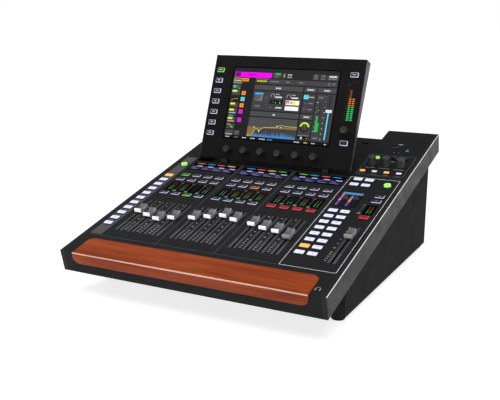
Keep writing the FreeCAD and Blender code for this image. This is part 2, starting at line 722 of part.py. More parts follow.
def make_overhang_cover():
    """Bent sheet under the overhang behind the socket panel, turned up to close the rear end."""
    rear = SLOPE_LENGTH - GAP
    skin = slab(-INNER, INNER, 500, rear, -BAND_DEPTH, -BAND_DEPTH + TUB_SHEET)
    skin = place(skin, SURFACE).cut(slab(-HALF, HALF, 0, TUB_REAR_Y + GAP, -100, 400))
    end = slab(-INNER, INNER, rear - TUB_SHEET, rear, -BAND_DEPTH, -SHEET - 0.1)
    end = place(end.cut(slab(BAY_X[0], BAY_X[1], 0, 700, -BAY_DEEP, 1)), SURFACE)
    export("overhang_cover", skin.fuse(end).removeSplitter())


def xlr_socket(x, z, is_output):
    """Flanged three-pole socket with a shallow face; outputs have pins, inputs have holes."""
    face = PANEL_FACE
    flange = rear_slab(x, z, FLANGE[0], FLANGE[1], face, face + PLATE)
    barrel = rod_y(x, z, BARREL_RADIUS, face - 24, face + PLATE)
    socket = flange.fuse(barrel)
    if is_output:
        socket = socket.cut(rod_y(x, z, 9.6, face - 1.6, face + 2))
    else:
        ring = rod_y(x, z, 9.9, face - 1.6, face + 2).cut(rod_y(x, z, 7.9, face - 3, face + 3))
        socket = socket.cut(ring)
    for turn in (30, 150, 270):
        pin_x = x + 4.2 * math.cos(math.radians(turn))
        pin_z = z + 4.2 * math.sin(math.radians(turn))
        if is_output:
            socket = socket.fuse(rod_y(pin_x, pin_z, 1.2, face - 2, face + 1.2))
        else:
            socket = socket.cut(rod_y(pin_x, pin_z, 1.3, face - 1.6, face + 2))
    return socket.removeSplitter()


def phone_jack(x, z):
    """6.35 mm jack: threaded nose through the panel, blind bore."""
    face = PANEL_FACE
    body = rear_slab(x, z, 15, 15, face - 22, face - 2).fuse(rod_y(x, z, JACK_NUT, face - 3, face + 3))
    bore = rod_y(x, z, JACK_BORE, face + 3 - JACK_BORE_LENGTH, face + 4)
    return body.cut(bore).removeSplitter()


def headphone_jack():
    x, y = headphone_place()
    low = -BAND_DEPTH + SHELL_WALL + GAP
    body = post(x, y, JACK_NUT, low, low + 20)
    return place(body.cut(post(x, y, JACK_BORE, low - 1, low + JACK_BORE_LENGTH)), SURFACE)


def network_port(x, z):
    face = PANEL_FACE
    body = rear_slab(x, z, 16, 14, face - 18, face + 0.8)
    return body.cut(rear_slab(x, z, 11.8, 8.5, face - 2.4, face + 2))


def make_sockets():
    face = PANEL_FACE
    pieces = [xlr_socket(x, z, z == SOCKET_ZS[0]) for x, z in socket_places()]
    pieces += [network_port(x, z) for x, z in port_places()]
    pieces.append(rear_slab(COVER_PLATE[0], COVER_PLATE[1], 110, 44, face, face + PLATE))
    for x, y in PORT_PLACES:
        port = centred_slab(x, y, 13.2, 5.6, -6.8, -0.1)
        pieces.append(place(port.cut(centred_slab(x, y, 11.6, 3.9, -2.6, 1)), SURFACE))
    export("signal_sockets", *pieces)
    export("phone_jacks", *([phone_jack(x, z) for x, z in jack_places()] + [headphone_jack()]))


def make_mains():
    """Mains inlet and the rocker switch above it, with its fixed frame."""
    face = PANEL_FACE
    x, z = INLET
    inlet = rear_slab(x, z, 30, 24, face - 20, face).fuse(rear_slab(x, z, 40, 28, face, face + 2))
    inlet = inlet.cut(rear_slab(x, z, 24.6, 16.8, face - 15, face + 3))
    x, z = SWITCH
    frame = rear_slab(x, z, 24, 30, face - 14, face).fuse(rear_slab(x, z, 28, 34, face, face + 2))
    frame = frame.cut(rear_slab(x, z, 20, 26, face - 12, face + 3))
    frame = frame.cut(rod_x(face - SWITCH_DEPTH, z, SWITCH_PIN + RUNNING_FIT, x - 13, x + 13))
    export("mains_inlet", inlet.removeSplitter(), frame.removeSplitter())
    export("power_rocker", place(power_rocker(x), switch_placement(SWITCH_TILT)))


def switch_placement(tilt):
    """Placement of the rocker, turned by `tilt` about its pivot behind the rear panel's face."""
    pivot = Vector(0, PANEL_FACE - SWITCH_DEPTH, SWITCH[1])
    return Placement(pivot, Rotation(Vector(1, 0, 0), tilt))


def power_rocker(x):
    """Rocker level on its pivot: both ends stand proud of its middle, and a pin turns in the frame."""
    outline = [(-4, -4), (6, -11.5), (4.4, 0), (6, 11.5), (-4, 4)]
    pin = rod_x(0, 0, SWITCH_PIN, x - 11.5, x + 11.5)
    return side_profile(outline, x - 9.6, x + 9.6).fuse(pin)


def foot_places():
    return [(side * (INNER - 15), y) for side in (-1, 1) for y in (TUB_FRONT_Y + 12.0, TUB_REAR_Y - 15.0)]


def make_feet():
    feet = []
    for x, y in foot_places():
        foot = post(x, y, FOOT_RADIUS, 0, TUB_BOTTOM_Z)
        rim = [edge for edge in foot.Edges if edge.Closed and abs(edge.BoundBox.ZMax) < 0.01]
        feet.append(foot.makeChamfer(0.8, rim))
    export("feet", *feet)


def side_screw_places():
    """(y, z) of the screws on each side of the tub."""
    return ((-77.0, 71.4), (-185.0, 50.0), (-188.0, 37.0), (-8.0, 24.0), (55.0, 22.0), (127.0, 39.5),
            (202.0, 105.0), (236.0, 24.0))


def make_screws():
    """Low domed heads on the tub's sides and underside, and along the rear panel's edges."""
    heads = []
    for y, z in side_screw_places():
        heads.append(rod_x(y, z, SCREW_RADIUS, INNER, INNER + SCREW_HEIGHT))
        heads.append(rod_x(y, z, SCREW_RADIUS, -INNER - SCREW_HEIGHT, -INNER))
    face = PANEL_FACE
    for x in (-219, 219):
        for z in (14, 60, 120, 165):
            heads.append(rod_y(x, z, SCREW_RADIUS, face, face + SCREW_HEIGHT))
    for x in (-150, 0, 150):
        for y in (-170, 20, 235):
            heads.append(post(x, y, SCREW_RADIUS, TUB_BOTTOM_Z - SCREW_HEIGHT, TUB_BOTTOM_Z))
    export("screws", *heads)


make_top_panel()
make_cheeks()
make_front()
make_windows()
make_buttons()
make_faders()
make_fader_units()
make_monitor_knobs()
make_control_board()
make_main_board()
make_power_supply()
make_bay()
make_hinge_brackets()
make_display_bezel()
make_display_back()
make_display_inside()
make_display_controls()
make_hinge_arms()
make_base_tub()
make_rear_panel()
make_overhang_cover()
make_sockets()
make_mains()
make_feet()
make_screws()
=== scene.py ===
import json
import math
import random

import bmesh
import bpy
from mathutils import Matrix, Vector


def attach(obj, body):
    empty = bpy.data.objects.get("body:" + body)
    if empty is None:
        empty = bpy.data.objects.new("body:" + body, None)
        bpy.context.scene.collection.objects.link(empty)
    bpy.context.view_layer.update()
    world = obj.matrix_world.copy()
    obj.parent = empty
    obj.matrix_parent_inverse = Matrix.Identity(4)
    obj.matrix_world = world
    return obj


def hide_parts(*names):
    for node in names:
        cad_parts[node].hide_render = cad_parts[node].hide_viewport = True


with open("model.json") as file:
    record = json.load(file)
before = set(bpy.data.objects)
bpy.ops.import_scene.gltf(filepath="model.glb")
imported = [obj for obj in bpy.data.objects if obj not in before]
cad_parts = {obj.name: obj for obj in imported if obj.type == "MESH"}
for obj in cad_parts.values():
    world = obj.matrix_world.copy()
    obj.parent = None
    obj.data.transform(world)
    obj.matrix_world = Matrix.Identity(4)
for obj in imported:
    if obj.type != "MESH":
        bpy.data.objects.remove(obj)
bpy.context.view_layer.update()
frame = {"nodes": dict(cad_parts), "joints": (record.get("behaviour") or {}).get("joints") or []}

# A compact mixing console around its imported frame. Pieces are drawn in millimetres in one of three
# frames, ROW, SURFACE and HEAD, whose matrices bring them to metres in the row frame.
# SURFACE: x right, y up the sloping control surface, z out of it, origin at the middle of its
# front edge. HEAD: the same on the display's face.
MM = 0.001
ROW = Matrix.Scale(MM, 4)

NODES = frame["nodes"]
JOINTS = {joint["name"]: joint for joint in frame["joints"]}

# Heights of flat prints and lit segments over the face that they lie on.
PRINT_LOW = -0.02
PRINT_HIGH = 0.05
SMOOTH_ANGLE = math.radians(38)
FOOT_LIP = 1.0                # a keycap's foot is this much wider than the cap on each side


def local_frame(joint, nodes):
    """Frame on the flat face that a joint's axis stands on, with the origin on its lower edge."""
    out = Vector(JOINTS[joint]["axis"]).normalized()
    right = Vector((1, 0, 0))
    up = out.cross(right)
    turn = Matrix((right, up, out))
    corners = [turn @ vertex.co for node in nodes for vertex in NODES[node].data.vertices]
    middle = (min(c.x for c in corners) + max(c.x for c in corners)) / 2
    origin = Vector((middle, min(c.y for c in corners), max(c.z for c in corners)))
    back = turn.transposed()
    return Matrix.Translation(back @ origin) @ back.to_4x4() @ Matrix.Scale(MM, 4)


SURFACE = local_frame("monitor_knob_1_turn", ("left_cheek", "right_cheek"))
HEAD = local_frame("display_side_knob_turn", ("display_bezel",))


class Box:
    """Low and high corners of a solid in a local frame, in millimetres."""

    def __init__(self, points):
        self.x0, self.x1 = min(p.x for p in points), max(p.x for p in points)
        self.y0, self.y1 = min(p.y for p in points), max(p.y for p in points)
        self.z0, self.z1 = min(p.z for p in points), max(p.z for p in points)
        self.x, self.y = (self.x0 + self.x1) / 2, (self.y0 + self.y1) / 2
        self.z = (self.z0 + self.z1) / 2
        self.width, self.length = self.x1 - self.x0, self.y1 - self.y0


def solid_boxes(node, place):
    """The box of each separate solid of a CAD node."""
    mesh = bmesh.new()
    mesh.from_mesh(NODES[node].data)
    bmesh.ops.remove_doubles(mesh, verts=mesh.verts, dist=1e-6)
    to_local = place.inverted()
    boxes = []
    for start in mesh.verts:
        if start.tag:
            continue
        start.tag = True
        waiting, points = [start], []
        while waiting:
            vertex = waiting.pop()
            points.append(to_local @ vertex.co)
            for edge in vertex.link_edges:
                other = edge.other_vert(vertex)
                if not other.tag:
                    other.tag = True
                    waiting.append(other)
        boxes.append(Box(points))
    mesh.free()
    return boxes


def node_box(node, place):
    """The box of a whole CAD node."""
    to_local = place.inverted()
    return Box([to_local @ vertex.co for vertex in NODES[node].data.vertices])


# ---- materials ----
def srgb(code, level=1.0):
    """Linear colour of a "#rrggbb" code, times level."""
    values = [int(code[k:k + 2], 16) / 255 for k in (1, 3, 5)]
    linear = [v / 12.92 if v <= 0.04045 else ((v + 0.055) / 1.055) ** 2.4 for v in values]
    return (*[v * level for v in linear], 1.0)


class Finish:
    """A Principled material whose variation comes from noise in the object's own coordinates."""

    def __init__(self, name, color, roughness=0.5, **inputs):
        self.material = bpy.data.materials.new(name)
        self.material.use_nodes = True
        self.tree = self.material.node_tree
        self.shader = self.tree.nodes["Principled BSDF"]
        self.shader.inputs["Base Color"].default_value = color
        self.shader.inputs["Roughness"].default_value = roughness
        for key, value in inputs.items():
            self.shader.inputs[key.replace("_", " ")].default_value = value
        self.coords = self.tree.nodes.new("ShaderNodeTexCoord")
        self.material.diffuse_color = color

    def node(self, kind, **settings):
        made = self.tree.nodes.new(kind)
        for key, value in settings.items():
            setattr(made, key, value)
        return made

    def link(self, output, target):
        self.tree.links.new(output, target)

    def noise(self, scale, detail=2.0, stretch=(1, 1, 1), distortion=0.0):
        """Noise with about `scale` grains a metre, times `stretch` along each axis."""
        mapping = self.node("ShaderNodeMapping")
        mapping.inputs["Scale"].default_value = stretch
        self.link(self.coords.outputs["Object"], mapping.inputs["Vector"])
        texture = self.node("ShaderNodeTexNoise")
        texture.inputs["Scale"].default_value = scale
        texture.inputs["Detail"].default_value = detail
        texture.inputs["Distortion"].default_value = distortion
        self.link(mapping.outputs["Vector"], texture.inputs["Vector"])
        return texture.outputs["Fac"]

    def ramp(self, value, *stops):
        """Colour ramp over (place, colour) stops."""
        made = self.node("ShaderNodeValToRGB")
        elements = made.color_ramp.elements
        while len(elements) < len(stops):
            elements.new(0.5)
        for element, (place, color) in zip(elements, stops):
            element.position = place
            element.color = color
        self.link(value, made.inputs["Fac"])
        return made.outputs["Color"]

    def spread(self, value, low, high):
        """Brings noise, which stays near 0.3 to 0.7, to low..high."""
        made = self.node("ShaderNodeMapRange")
        made.inputs["From Min"].default_value = 0.3
        made.inputs["From Max"].default_value = 0.7
        made.inputs["To Min"].default_value = low
        made.inputs["To Max"].default_value = high
        self.link(value, made.inputs["Value"])
        return made.outputs["Result"]

    def blend(self, factor, first, second, kind="MIX"):
        made = self.node("ShaderNodeMix", data_type="RGBA", blend_type=kind)
        for socket, value in ((made.inputs[0], factor), (made.inputs[6], first), (made.inputs[7], second)):
            if isinstance(value, (float, tuple)):
                socket.default_value = value
            else:
                self.link(value, socket)
        return made.outputs[2]

    def bump(self, value, distance, strength=1.0, under=None):
        made = self.node("ShaderNodeBump")
        made.inputs["Strength"].default_value = strength
        made.inputs["Distance"].default_value = distance
        self.link(value, made.inputs["Height"])
        if under is not None:
            self.link(under, made.inputs["Normal"])
        return made.outputs["Normal"]

    def set(self, socket, output):
        self.link(output, self.shader.inputs[socket])
        return self


def scaled(color, level):
    return (color[0] * level, color[1] * level, color[2] * level, 1.0)


def powder_coat(name, color, roughness=0.5, specular=0.3, grain=1500.0, depth=0.00003):
    """Fine-grained paint: speckle, slow tone drift, uneven sheen and a pebbled surface."""
    paint = Finish(name, color, roughness, Specular_IOR_Level=specular)
    fine = paint.noise(grain, 2.0)
    broad = paint.noise(7.0, 3.0)
    speckle = paint.ramp(fine, (0.35, scaled(color, 0.82)), (0.65, scaled(color, 1.2)))
    drift = paint.ramp(broad, (0.3, (0.9, 0.9, 0.9, 1)), (0.7, (1.08, 1.08, 1.08, 1)))
    paint.set("Base Color", paint.blend(1.0, speckle, drift, "MULTIPLY"))
    paint.set("Roughness", paint.spread(paint.noise(40.0, 4.0), roughness - 0.06, roughness + 0.07))
    paint.set("Normal", paint.bump(fine, depth, 0.5))
    return paint


def cheek_paint():
    """Satin grey paint, with a painted highlight on the long outer bevels, which are coloured near-white."""
    paint = powder_coat("cheek_paint", srgb("#1d1d1f"), 0.46, 0.15, 1100.0, 0.00003)
    parts = paint.node("ShaderNodeSeparateXYZ")
    paint.link(paint.coords.outputs["Normal"], parts.inputs["Vector"])
    side = paint.node("ShaderNodeMath", operation="ABSOLUTE")
    paint.link(parts.outputs["X"], side.inputs[0])
    bevel_highlight = paint.node("ShaderNodeMath", operation="COMPARE")
    bevel_highlight.inputs[1].default_value = math.sqrt(0.5)
    bevel_highlight.inputs[2].default_value = 0.09
    paint.link(side.outputs[0], bevel_highlight.inputs[0])
    # Faces slanted at 45 degrees to the side, the outer bevels, take near-white: a painted highlight.
    painted = paint.shader.inputs["Base Color"].links[0].from_socket
    paint.set("Base Color", paint.blend(bevel_highlight.outputs[0], painted, srgb("#f4f4f4")))
    return paint.material


def wood(name, tones, coat):
    """Varnished reddish hardwood: long grain, darker pores and a clear coat."""
    finish = Finish(name, srgb(tones[1]), 0.42, Specular_IOR_Level=0.05, Coat_Weight=coat,
                    Coat_Roughness=0.14, Coat_IOR=1.5)
    figure = finish.noise(9.0, 5.0, (0.35, 5.5, 5.5), 1.1)
    grain = finish.noise(60.0, 6.0, (0.12, 5.0, 5.0), 0.4)
    pores = finish.noise(420.0, 3.0, (0.05, 3.0, 3.0), 0.2)
    tone = finish.ramp(figure, (0.3, srgb(tones[0])), (0.5, srgb(tones[1])), (0.72, srgb(tones[2])))
    streak = finish.ramp(grain, (0.32, srgb("#dcc6ba")), (0.55, srgb("#ffffff")))
    dark = finish.ramp(pores, (0.36, srgb("#b99c8e")), (0.46, srgb("#ffffff")))
    toned = finish.blend(0.7, tone, streak, "MULTIPLY")
    finish.set("Base Color", finish.blend(0.6, toned, dark, "MULTIPLY"))
    finish.set("Roughness", finish.spread(grain, 0.29, 0.42))
    finish.set("Normal", finish.bump(pores, 0.00006, 0.35, finish.bump(grain, 0.0001, 0.25)))
    return finish.material


def moulded(name, color, roughness=0.45, specular=0.4, grain=900.0, depth=0.00002):
    """Moulded plastic or rubber with a faint spark-eroded grain."""
    finish = Finish(name, color, roughness, Specular_IOR_Level=specular)
    fine = finish.noise(grain, 3.0)
    finish.set("Base Color", finish.ramp(finish.noise(90.0, 4.0), (0.3, scaled(color, 0.88)),
                                         (0.7, scaled(color, 1.1))))
    finish.set("Roughness", finish.spread(fine, roughness - 0.05, roughness + 0.07))
    finish.set("Normal", finish.bump(fine, depth, 0.4))
    return finish.material


def gloss(name, color, roughness=0.14, specular=0.25):
    """Polished plastic with faint haze and a slightly wavy surface."""
    finish = Finish(name, color, roughness, Specular_IOR_Level=specular)
    finish.set("Roughness", finish.spread(finish.noise(28.0, 4.0), roughness - 0.04, roughness + 0.06))
    finish.set("Normal", finish.bump(finish.noise(35.0, 1.0), 0.00002, 0.3))
    return finish.material


def lit(name, color, glow, roughness=0.35, body=0.8):
    """Translucent plastic lit from behind, a little unevenly. The fader caps' white nose plates use it too,
    where the glow is painted light.
    """
    finish = Finish(name, scaled(color, body), roughness, Specular_IOR_Level=0.4)
    finish.shader.inputs["Emission Color"].default_value = color
    finish.set("Emission Strength", finish.spread(finish.noise(260.0, 2.0), glow * 0.86, glow * 1.14))
    finish.set("Roughness", finish.spread(finish.noise(900.0, 2.0), roughness - 0.05, roughness + 0.06))
    return finish.material


def emitter(name, code, glow=1.0):
    """Flat segment or screen area that shines in one colour under a smooth cover."""
    finish = Finish(name, scaled(srgb(code), 0.15), 0.25, Specular_IOR_Level=0.12)
    finish.shader.inputs["Emission Color"].default_value = srgb(code)
    finish.shader.inputs["Emission Strength"].default_value = glow
    finish.set("Roughness", finish.spread(finish.noise(700.0, 1.0), 0.2, 0.32))
    return finish.material


def ink(name, code, roughness=0.55):
    """Screen-printed ink, slightly uneven in sheen."""
    finish = Finish(name, srgb(code), roughness, Specular_IOR_Level=0.25)
    finish.set("Roughness", finish.spread(finish.noise(1200.0, 2.0), roughness - 0.08, roughness + 0.08))
    return finish.material


def brushed(name, color, roughness=0.3, stretch=(1, 1, 30)):
    """Metal with fine brushing and smudges."""
    finish = Finish(name, color, roughness, Metallic=1.0)
    lines = finish.noise(120.0, 4.0, stretch)
    finish.set("Base Color", finish.ramp(lines, (0.3, scaled(color, 0.8)), (0.7, scaled(color, 1.1))))
    finish.set("Roughness", finish.spread(finish.noise(30.0, 4.0), roughness - 0.07, roughness + 0.14))
    finish.set("Normal", finish.bump(lines, 0.00002, 0.4))
    return finish.material


def solder_mask():
    """Circuit board: green mask with a pattern of tracks under it."""
    finish = Finish("solder_mask", srgb("#14402a"), 0.3, Specular_IOR_Level=0.5)
    tracks = finish.node("ShaderNodeTexVoronoi", feature="DISTANCE_TO_EDGE", distance="CHEBYCHEV")
    tracks.inputs["Scale"].default_value = 260.0
    finish.link(finish.coords.outputs["Object"], tracks.inputs["Vector"])
    color = finish.ramp(tracks.outputs["Distance"], (0.05, srgb("#2b6a45")), (0.12, srgb("#14402a")))
    finish.set("Base Color", color)
    finish.set("Normal", finish.bump(tracks.outputs["Distance"], 0.00005, 0.3))
    return finish.material


PANEL = powder_coat("panel_paint", srgb("#1c1d1e"), 0.55, 0.09).material
# Cheek paint, with a painted highlight on the long outer bevels.
CHEEK = cheek_paint()
TUB = powder_coat("tub_paint", srgb("#262627"), 0.6, 0.01, 1300.0, 0.00002).material
HOUSING = powder_coat("housing_paint", srgb("#4a4a4c"), 0.4, 0.3, 1100.0).material
WOOD = wood("rest_wood", ("#7c3216", "#96431f", "#a65028"), 0.15)
# Pale, fully coated wood for the palm rest's bull nose: a painted highlight along its front edge.
WOOD_HIGHLIGHT = wood("rest_painted_highlight", ("#d2a493", "#e6bba9", "#f0cfc0"), 1.0)
BEZEL = gloss("bezel_gloss", srgb("#131314"), 0.22, 0.2)
PANE = gloss("pane_gloss", srgb("#020203"), 0.2, 0.02)
KNOB = moulded("knob_plastic", srgb("#242425"), 0.42, 0.4)
KNOB_TALL = moulded("tall_knob_plastic", srgb("#3d3d3e"), 0.45, 0.4)
BLACK = moulded("black_plastic", srgb("#151516"), 0.45, 0.35)
DARK_HOLE = moulded("hole_black", srgb("#050505"), 0.8, 0.1)
CAP = moulded("cap_grey", srgb("#58585a"), 0.4, 0.4)
# Lighter grey for the right walls of the fader caps: a painted highlight where light falls on that side.
CAP_SIDE_HIGHLIGHT = moulded("cap_side_highlight", srgb("#a2a2a4"), 0.35, 0.5)
# White nose plates of the fader caps, given a faint glow: painted light, as they are not lit from behind.
CAP_WHITE_GLOW = lit("cap_white", srgb("#ffffff"), 0.35, 0.35, 0.95)
CAP_SILVER = moulded("cap_silver", srgb("#a4a4a6"), 0.35, 0.5)
RUBBER = moulded("foot_rubber", srgb("#0e0e0e"), 0.75, 0.2, 600.0, 0.00006)
PAD = moulded("key_pad", srgb("#232228"), 0.45, 0.2)
PAD_RED = lit("key_pad_red", srgb("#8a1f29"), 0.2)
PAD_GREEN = lit("key_pad_green", srgb("#33502b"), 0.15)
PAD_ORANGE = lit("key_pad_orange", srgb("#5e3620"), 0.12)
KEY_LAVENDER = lit("key_lavender", srgb("#c0c0de"), 0.52)
# Darker, dimmer lavender for the sides of the white keys: painted shade on their sides.
KEY_SIDE_SHADE = lit("key_side_shade", srgb("#8f8cb8"), 0.18)
KEY_WHITE = lit("key_white", srgb("#dfe0f4"), 0.38)
KEY_ORANGE = lit("key_orange", srgb("#f9b25c"), 0.58)
KEY_PEACH = lit("key_peach", srgb("#e99a66"), 0.45)
KEY_GREEN = lit("key_green", srgb("#86d962"), 0.45)
KEY_LIME = lit("key_lime", srgb("#9fee6a"), 0.6)
KEY_RED = lit("key_red", srgb("#e63f4a"), 0.5)
GLYPH_PALE = ink("glyph_pale", "#a3a1bc")
GLYPH_DARK = ink("glyph_dark", "#4d4b60")
INK_WHITE = ink("ink_white", "#eeeeee")
INK_GREY = ink("ink_grey", "#9b9c9e")
INK_SCALE = ink("ink_scale", "#c6c7c9")
INK_DIM = ink("ink_dim", "#5c5d5f")
INK_METER = ink("ink_meter", "#7d7e80")
INK_STRIPE = ink("ink_stripe", "#48484a")
INK_STRIPE_DIM = ink("ink_stripe_dim", "#363638")
INK_BLOCK = ink("ink_block", "#4a4a4e")
STEEL = brushed("bare_steel", srgb("#a8a8aa"))
CHROME = brushed("bright_steel", srgb("#d2d2d4"), 0.16, (1, 1, 1))
GOLD = brushed("contact_gold", srgb("#d8a94a"), 0.22, (1, 1, 1))
BLACK_STEEL = moulded("black_steel", srgb("#131314"), 0.4, 0.2)
BOARD = solder_mask()
LED_GREEN = emitter("led_green", "#22a84e", 0.9)
BRIDGE_GREEN = emitter("bridge_green", "#35c962", 1.0)
BRIDGE_ORANGE = emitter("bridge_orange", "#d97a35", 1.0)
LED_ORANGE = emitter("led_orange", "#c56a2c", 0.8)
LED_DIM_ORANGE = emitter("led_dim_orange", "#a85c28", 0.75)
LED_OFF = ink("led_off", "#16161a")


# ---- shape builder ----
def arc(x, y, radius, start, end, steps):
    """Points on a circle from start to end degrees."""
    turns = [math.radians(start + (end - start) * k / steps) for k in range(steps + 1)]
    return [(x + radius * math.cos(t), y + radius * math.sin(t)) for t in turns]


def rounded(x0, x1, y0, y1, radius, steps=4):
    """Outline of a rectangle with rounded corners."""
    corners = ((x1 - radius, y1 - radius, 0), (x0 + radius, y1 - radius, 90),
               (x0 + radius, y0 + radius, 180), (x1 - radius, y0 + radius, 270))
    return [point for x, y, start in corners for point in arc(x, y, radius, start, start + 90, steps)]


class Piece:
    """Closed shapes drawn in a local frame, which become one object."""

    def __init__(self, name, place=SURFACE):
        self.name = name
        self.place = place
        self.mesh = bmesh.new()
        self.materials = []

    def loft(self, rings, material, closed=False, bands=None):
        """Skin over rings of points. The ends are flat, unless the rings close on themselves.
        bands gives the strips that start at some of a ring's points another material."""
        loops = [[self.mesh.verts.new(point) for point in ring] for ring in rings]
        bands = bands or {}
        faces = []
        pairs = list(zip(loops, loops[1:]))
        if closed:
            pairs.append((loops[-1], loops[0]))
        else:
            faces.append((self.mesh.faces.new(loops[0][::-1]), material))
            faces.append((self.mesh.faces.new(loops[-1]), material))
        for low, high in pairs:
            for k in range(len(low)):
                after = (k + 1) % len(low)
                face = self.mesh.faces.new((low[k], low[after], high[after], high[k]))
                faces.append((face, bands.get(k, material)))
        for face, paint in faces:
            if paint not in self.materials:
                self.materials.append(paint)
            face.material_index = self.materials.index(paint)

    def prism(self, outline, z0, z1, material):
        self.loft([[(x, y, z) for x, y in outline] for z in (z0, z1)], material)

    def slab(self, x0, x1, y0, y1, z0, z1, material, edge=0.0):
        """Box, with its upper edges cut back by `edge`."""
        rings = [(0, z0), (0, z1 - edge), (edge, z1)] if edge else [(0, z0), (0, z1)]
        self.loft([[(x0 + d, y0 + d, z), (x1 - d, y0 + d, z), (x1 - d, y1 - d, z), (x0 + d, y1 - d, z)]
                   for d, z in rings], material)

    def flat(self, x0, x1, y0, y1, material, base=0.0, lift=0.0):
        """Print or segment on a face at height base."""
        self.slab(x0, x1, y0, y1, base + PRINT_LOW, base + PRINT_HIGH + lift, material)

    def pad(self, x0, x1, y0, y1, z0, z1, radius, material, edge):
        """Box with rounded corners and a rounded upper edge."""
        profile = [(0, z0)]
        for k in range(4):
            turn = math.pi / 2 * k / 3
            profile.append((edge * (1 - math.cos(turn)), z1 - edge * (1 - math.sin(turn))))
        rings = []
        for inset, z in profile:
            outline = rounded(x0 + inset, x1 - inset, y0 + inset, y1 - inset, max(radius - inset, 0.15))
            rings.append([(x, y, z) for x, y in outline])
        self.loft(rings, material)

    def turned(self, x, y, profile, material, count=36, flutes=0, depth=0.0):
        """Round body with (radius, z) rings; flutes cut `depth` into rings whose third value is true."""
        rings = []
        for radius, z, *cut in profile:
            ring = []
            for k in range(count):
                turn = 2 * math.pi * k / count
                r = radius - (depth if cut and flutes and k % (count // flutes) == 0 else 0.0)
                ring.append((x + r * math.cos(turn), y + r * math.sin(turn), z))
            rings.append(ring)
        self.loft(rings, material)

    def line(self, points, width, material, base=0.0, closed=False, lift=0.0):
        """Flat line of even width along a path."""
        low, high = base + PRINT_LOW, base + PRINT_HIGH + lift
        rings = []
        count = len(points)
        for k in range(count):
            here = Vector(points[k])
            before = here - Vector(points[k - 1]) if closed or k > 0 else None
            after = Vector(points[(k + 1) % count]) - here if closed or k < count - 1 else None
            before = (before or after).normalized()
            after = (after or before).normalized()
            along = (before + after).normalized()
            reach = width / 2 / max(along.dot(after), 0.5)
            side = Vector((-along.y, along.x)) * reach
            left, right = here + side, here - side
            rings.append([(*left, low), (*left, high), (*right, high), (*right, low)])
        self.loft(rings, material, closed)

    def dot(self, x, y, radius, material, base=0.0, count=16):
        self.prism(arc(x, y, radius, 0, 360 - 360 / count, count - 1), base + PRINT_LOW,
                   base + PRINT_HIGH, material)

    def build(self, body, slot=None, replaces=()):
        bmesh.ops.recalc_face_normals(self.mesh, faces=self.mesh.faces)
        data = bpy.data.meshes.new(self.name)
        self.mesh.to_mesh(data)
        self.mesh.free()
        data.transform(self.place)
        for material in self.materials:
            data.materials.append(material)
        data.shade_smooth()
        data.set_sharp_from_angle(angle=SMOOTH_ANGLE)
        made = bpy.data.objects.new(self.name, data)
        bpy.context.scene.collection.objects.link(made)
        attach(made, body)
        if replaces:
            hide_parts(*replaces)


# ---- CAD nodes that keep their shape ----
def finish_node(node, material, bevel=0.0):
    """Gives a CAD node its material, and rounds its hard edges a little."""
    piece = NODES[node]
    piece.data.materials.clear()
    piece.data.materials.append(material)
    if bevel:
        weld = piece.modifiers.new("weld", "WELD")
        weld.merge_threshold = 0.000002
        soften = piece.modifiers.new("soften", "BEVEL")
        soften.width = bevel * MM
        soften.segments = 2
        soften.limit_method = "ANGLE"
        soften.angle_limit = math.radians(40)
        soften.harden_normals = False
        weights = piece.modifiers.new("weights", "WEIGHTED_NORMAL")
        weights.keep_sharp = False


def finish_nodes():
    for node in ("top_panel", "front_shell"):
        finish_node(node, PANEL)
    finish_node("display_bay", powder_coat("bay_paint", srgb("#1d1d1e"), 0.6, 0.08).material)
    for node in ("left_cheek", "right_cheek"):
        finish_node(node, CHEEK)
    for node in ("base_tub", "rear_panel", "overhang_cover"):
        finish_node(node, TUB)
    finish_node("display_bezel", BEZEL)
    finish_node("display_back", HOUSING, 0.5)
    finish_node("display_glass", PANE)
    finish_node("display_screen", PANE)
    finish_node("window_panes", PANE)
    finish_node("small_screens", PANE)
    for node in ("hinge_arms", "hinge_brackets"):
        finish_node(node, powder_coat(node + "_paint", srgb("#1a1a1b"), 0.45, 0.4).material, 0.4)
    finish_node("hinge_pins", STEEL)
    finish_node("power_supply", STEEL)
    finish_node("fader_units", DARK_HOLE)
    for node in ("control_board", "main_board", "display_board"):
        finish_node(node, BOARD)
    for node in ("signal_sockets", "phone_jacks", "mains_inlet"):
        finish_node(node, BLACK, 0.25)


finish_nodes()


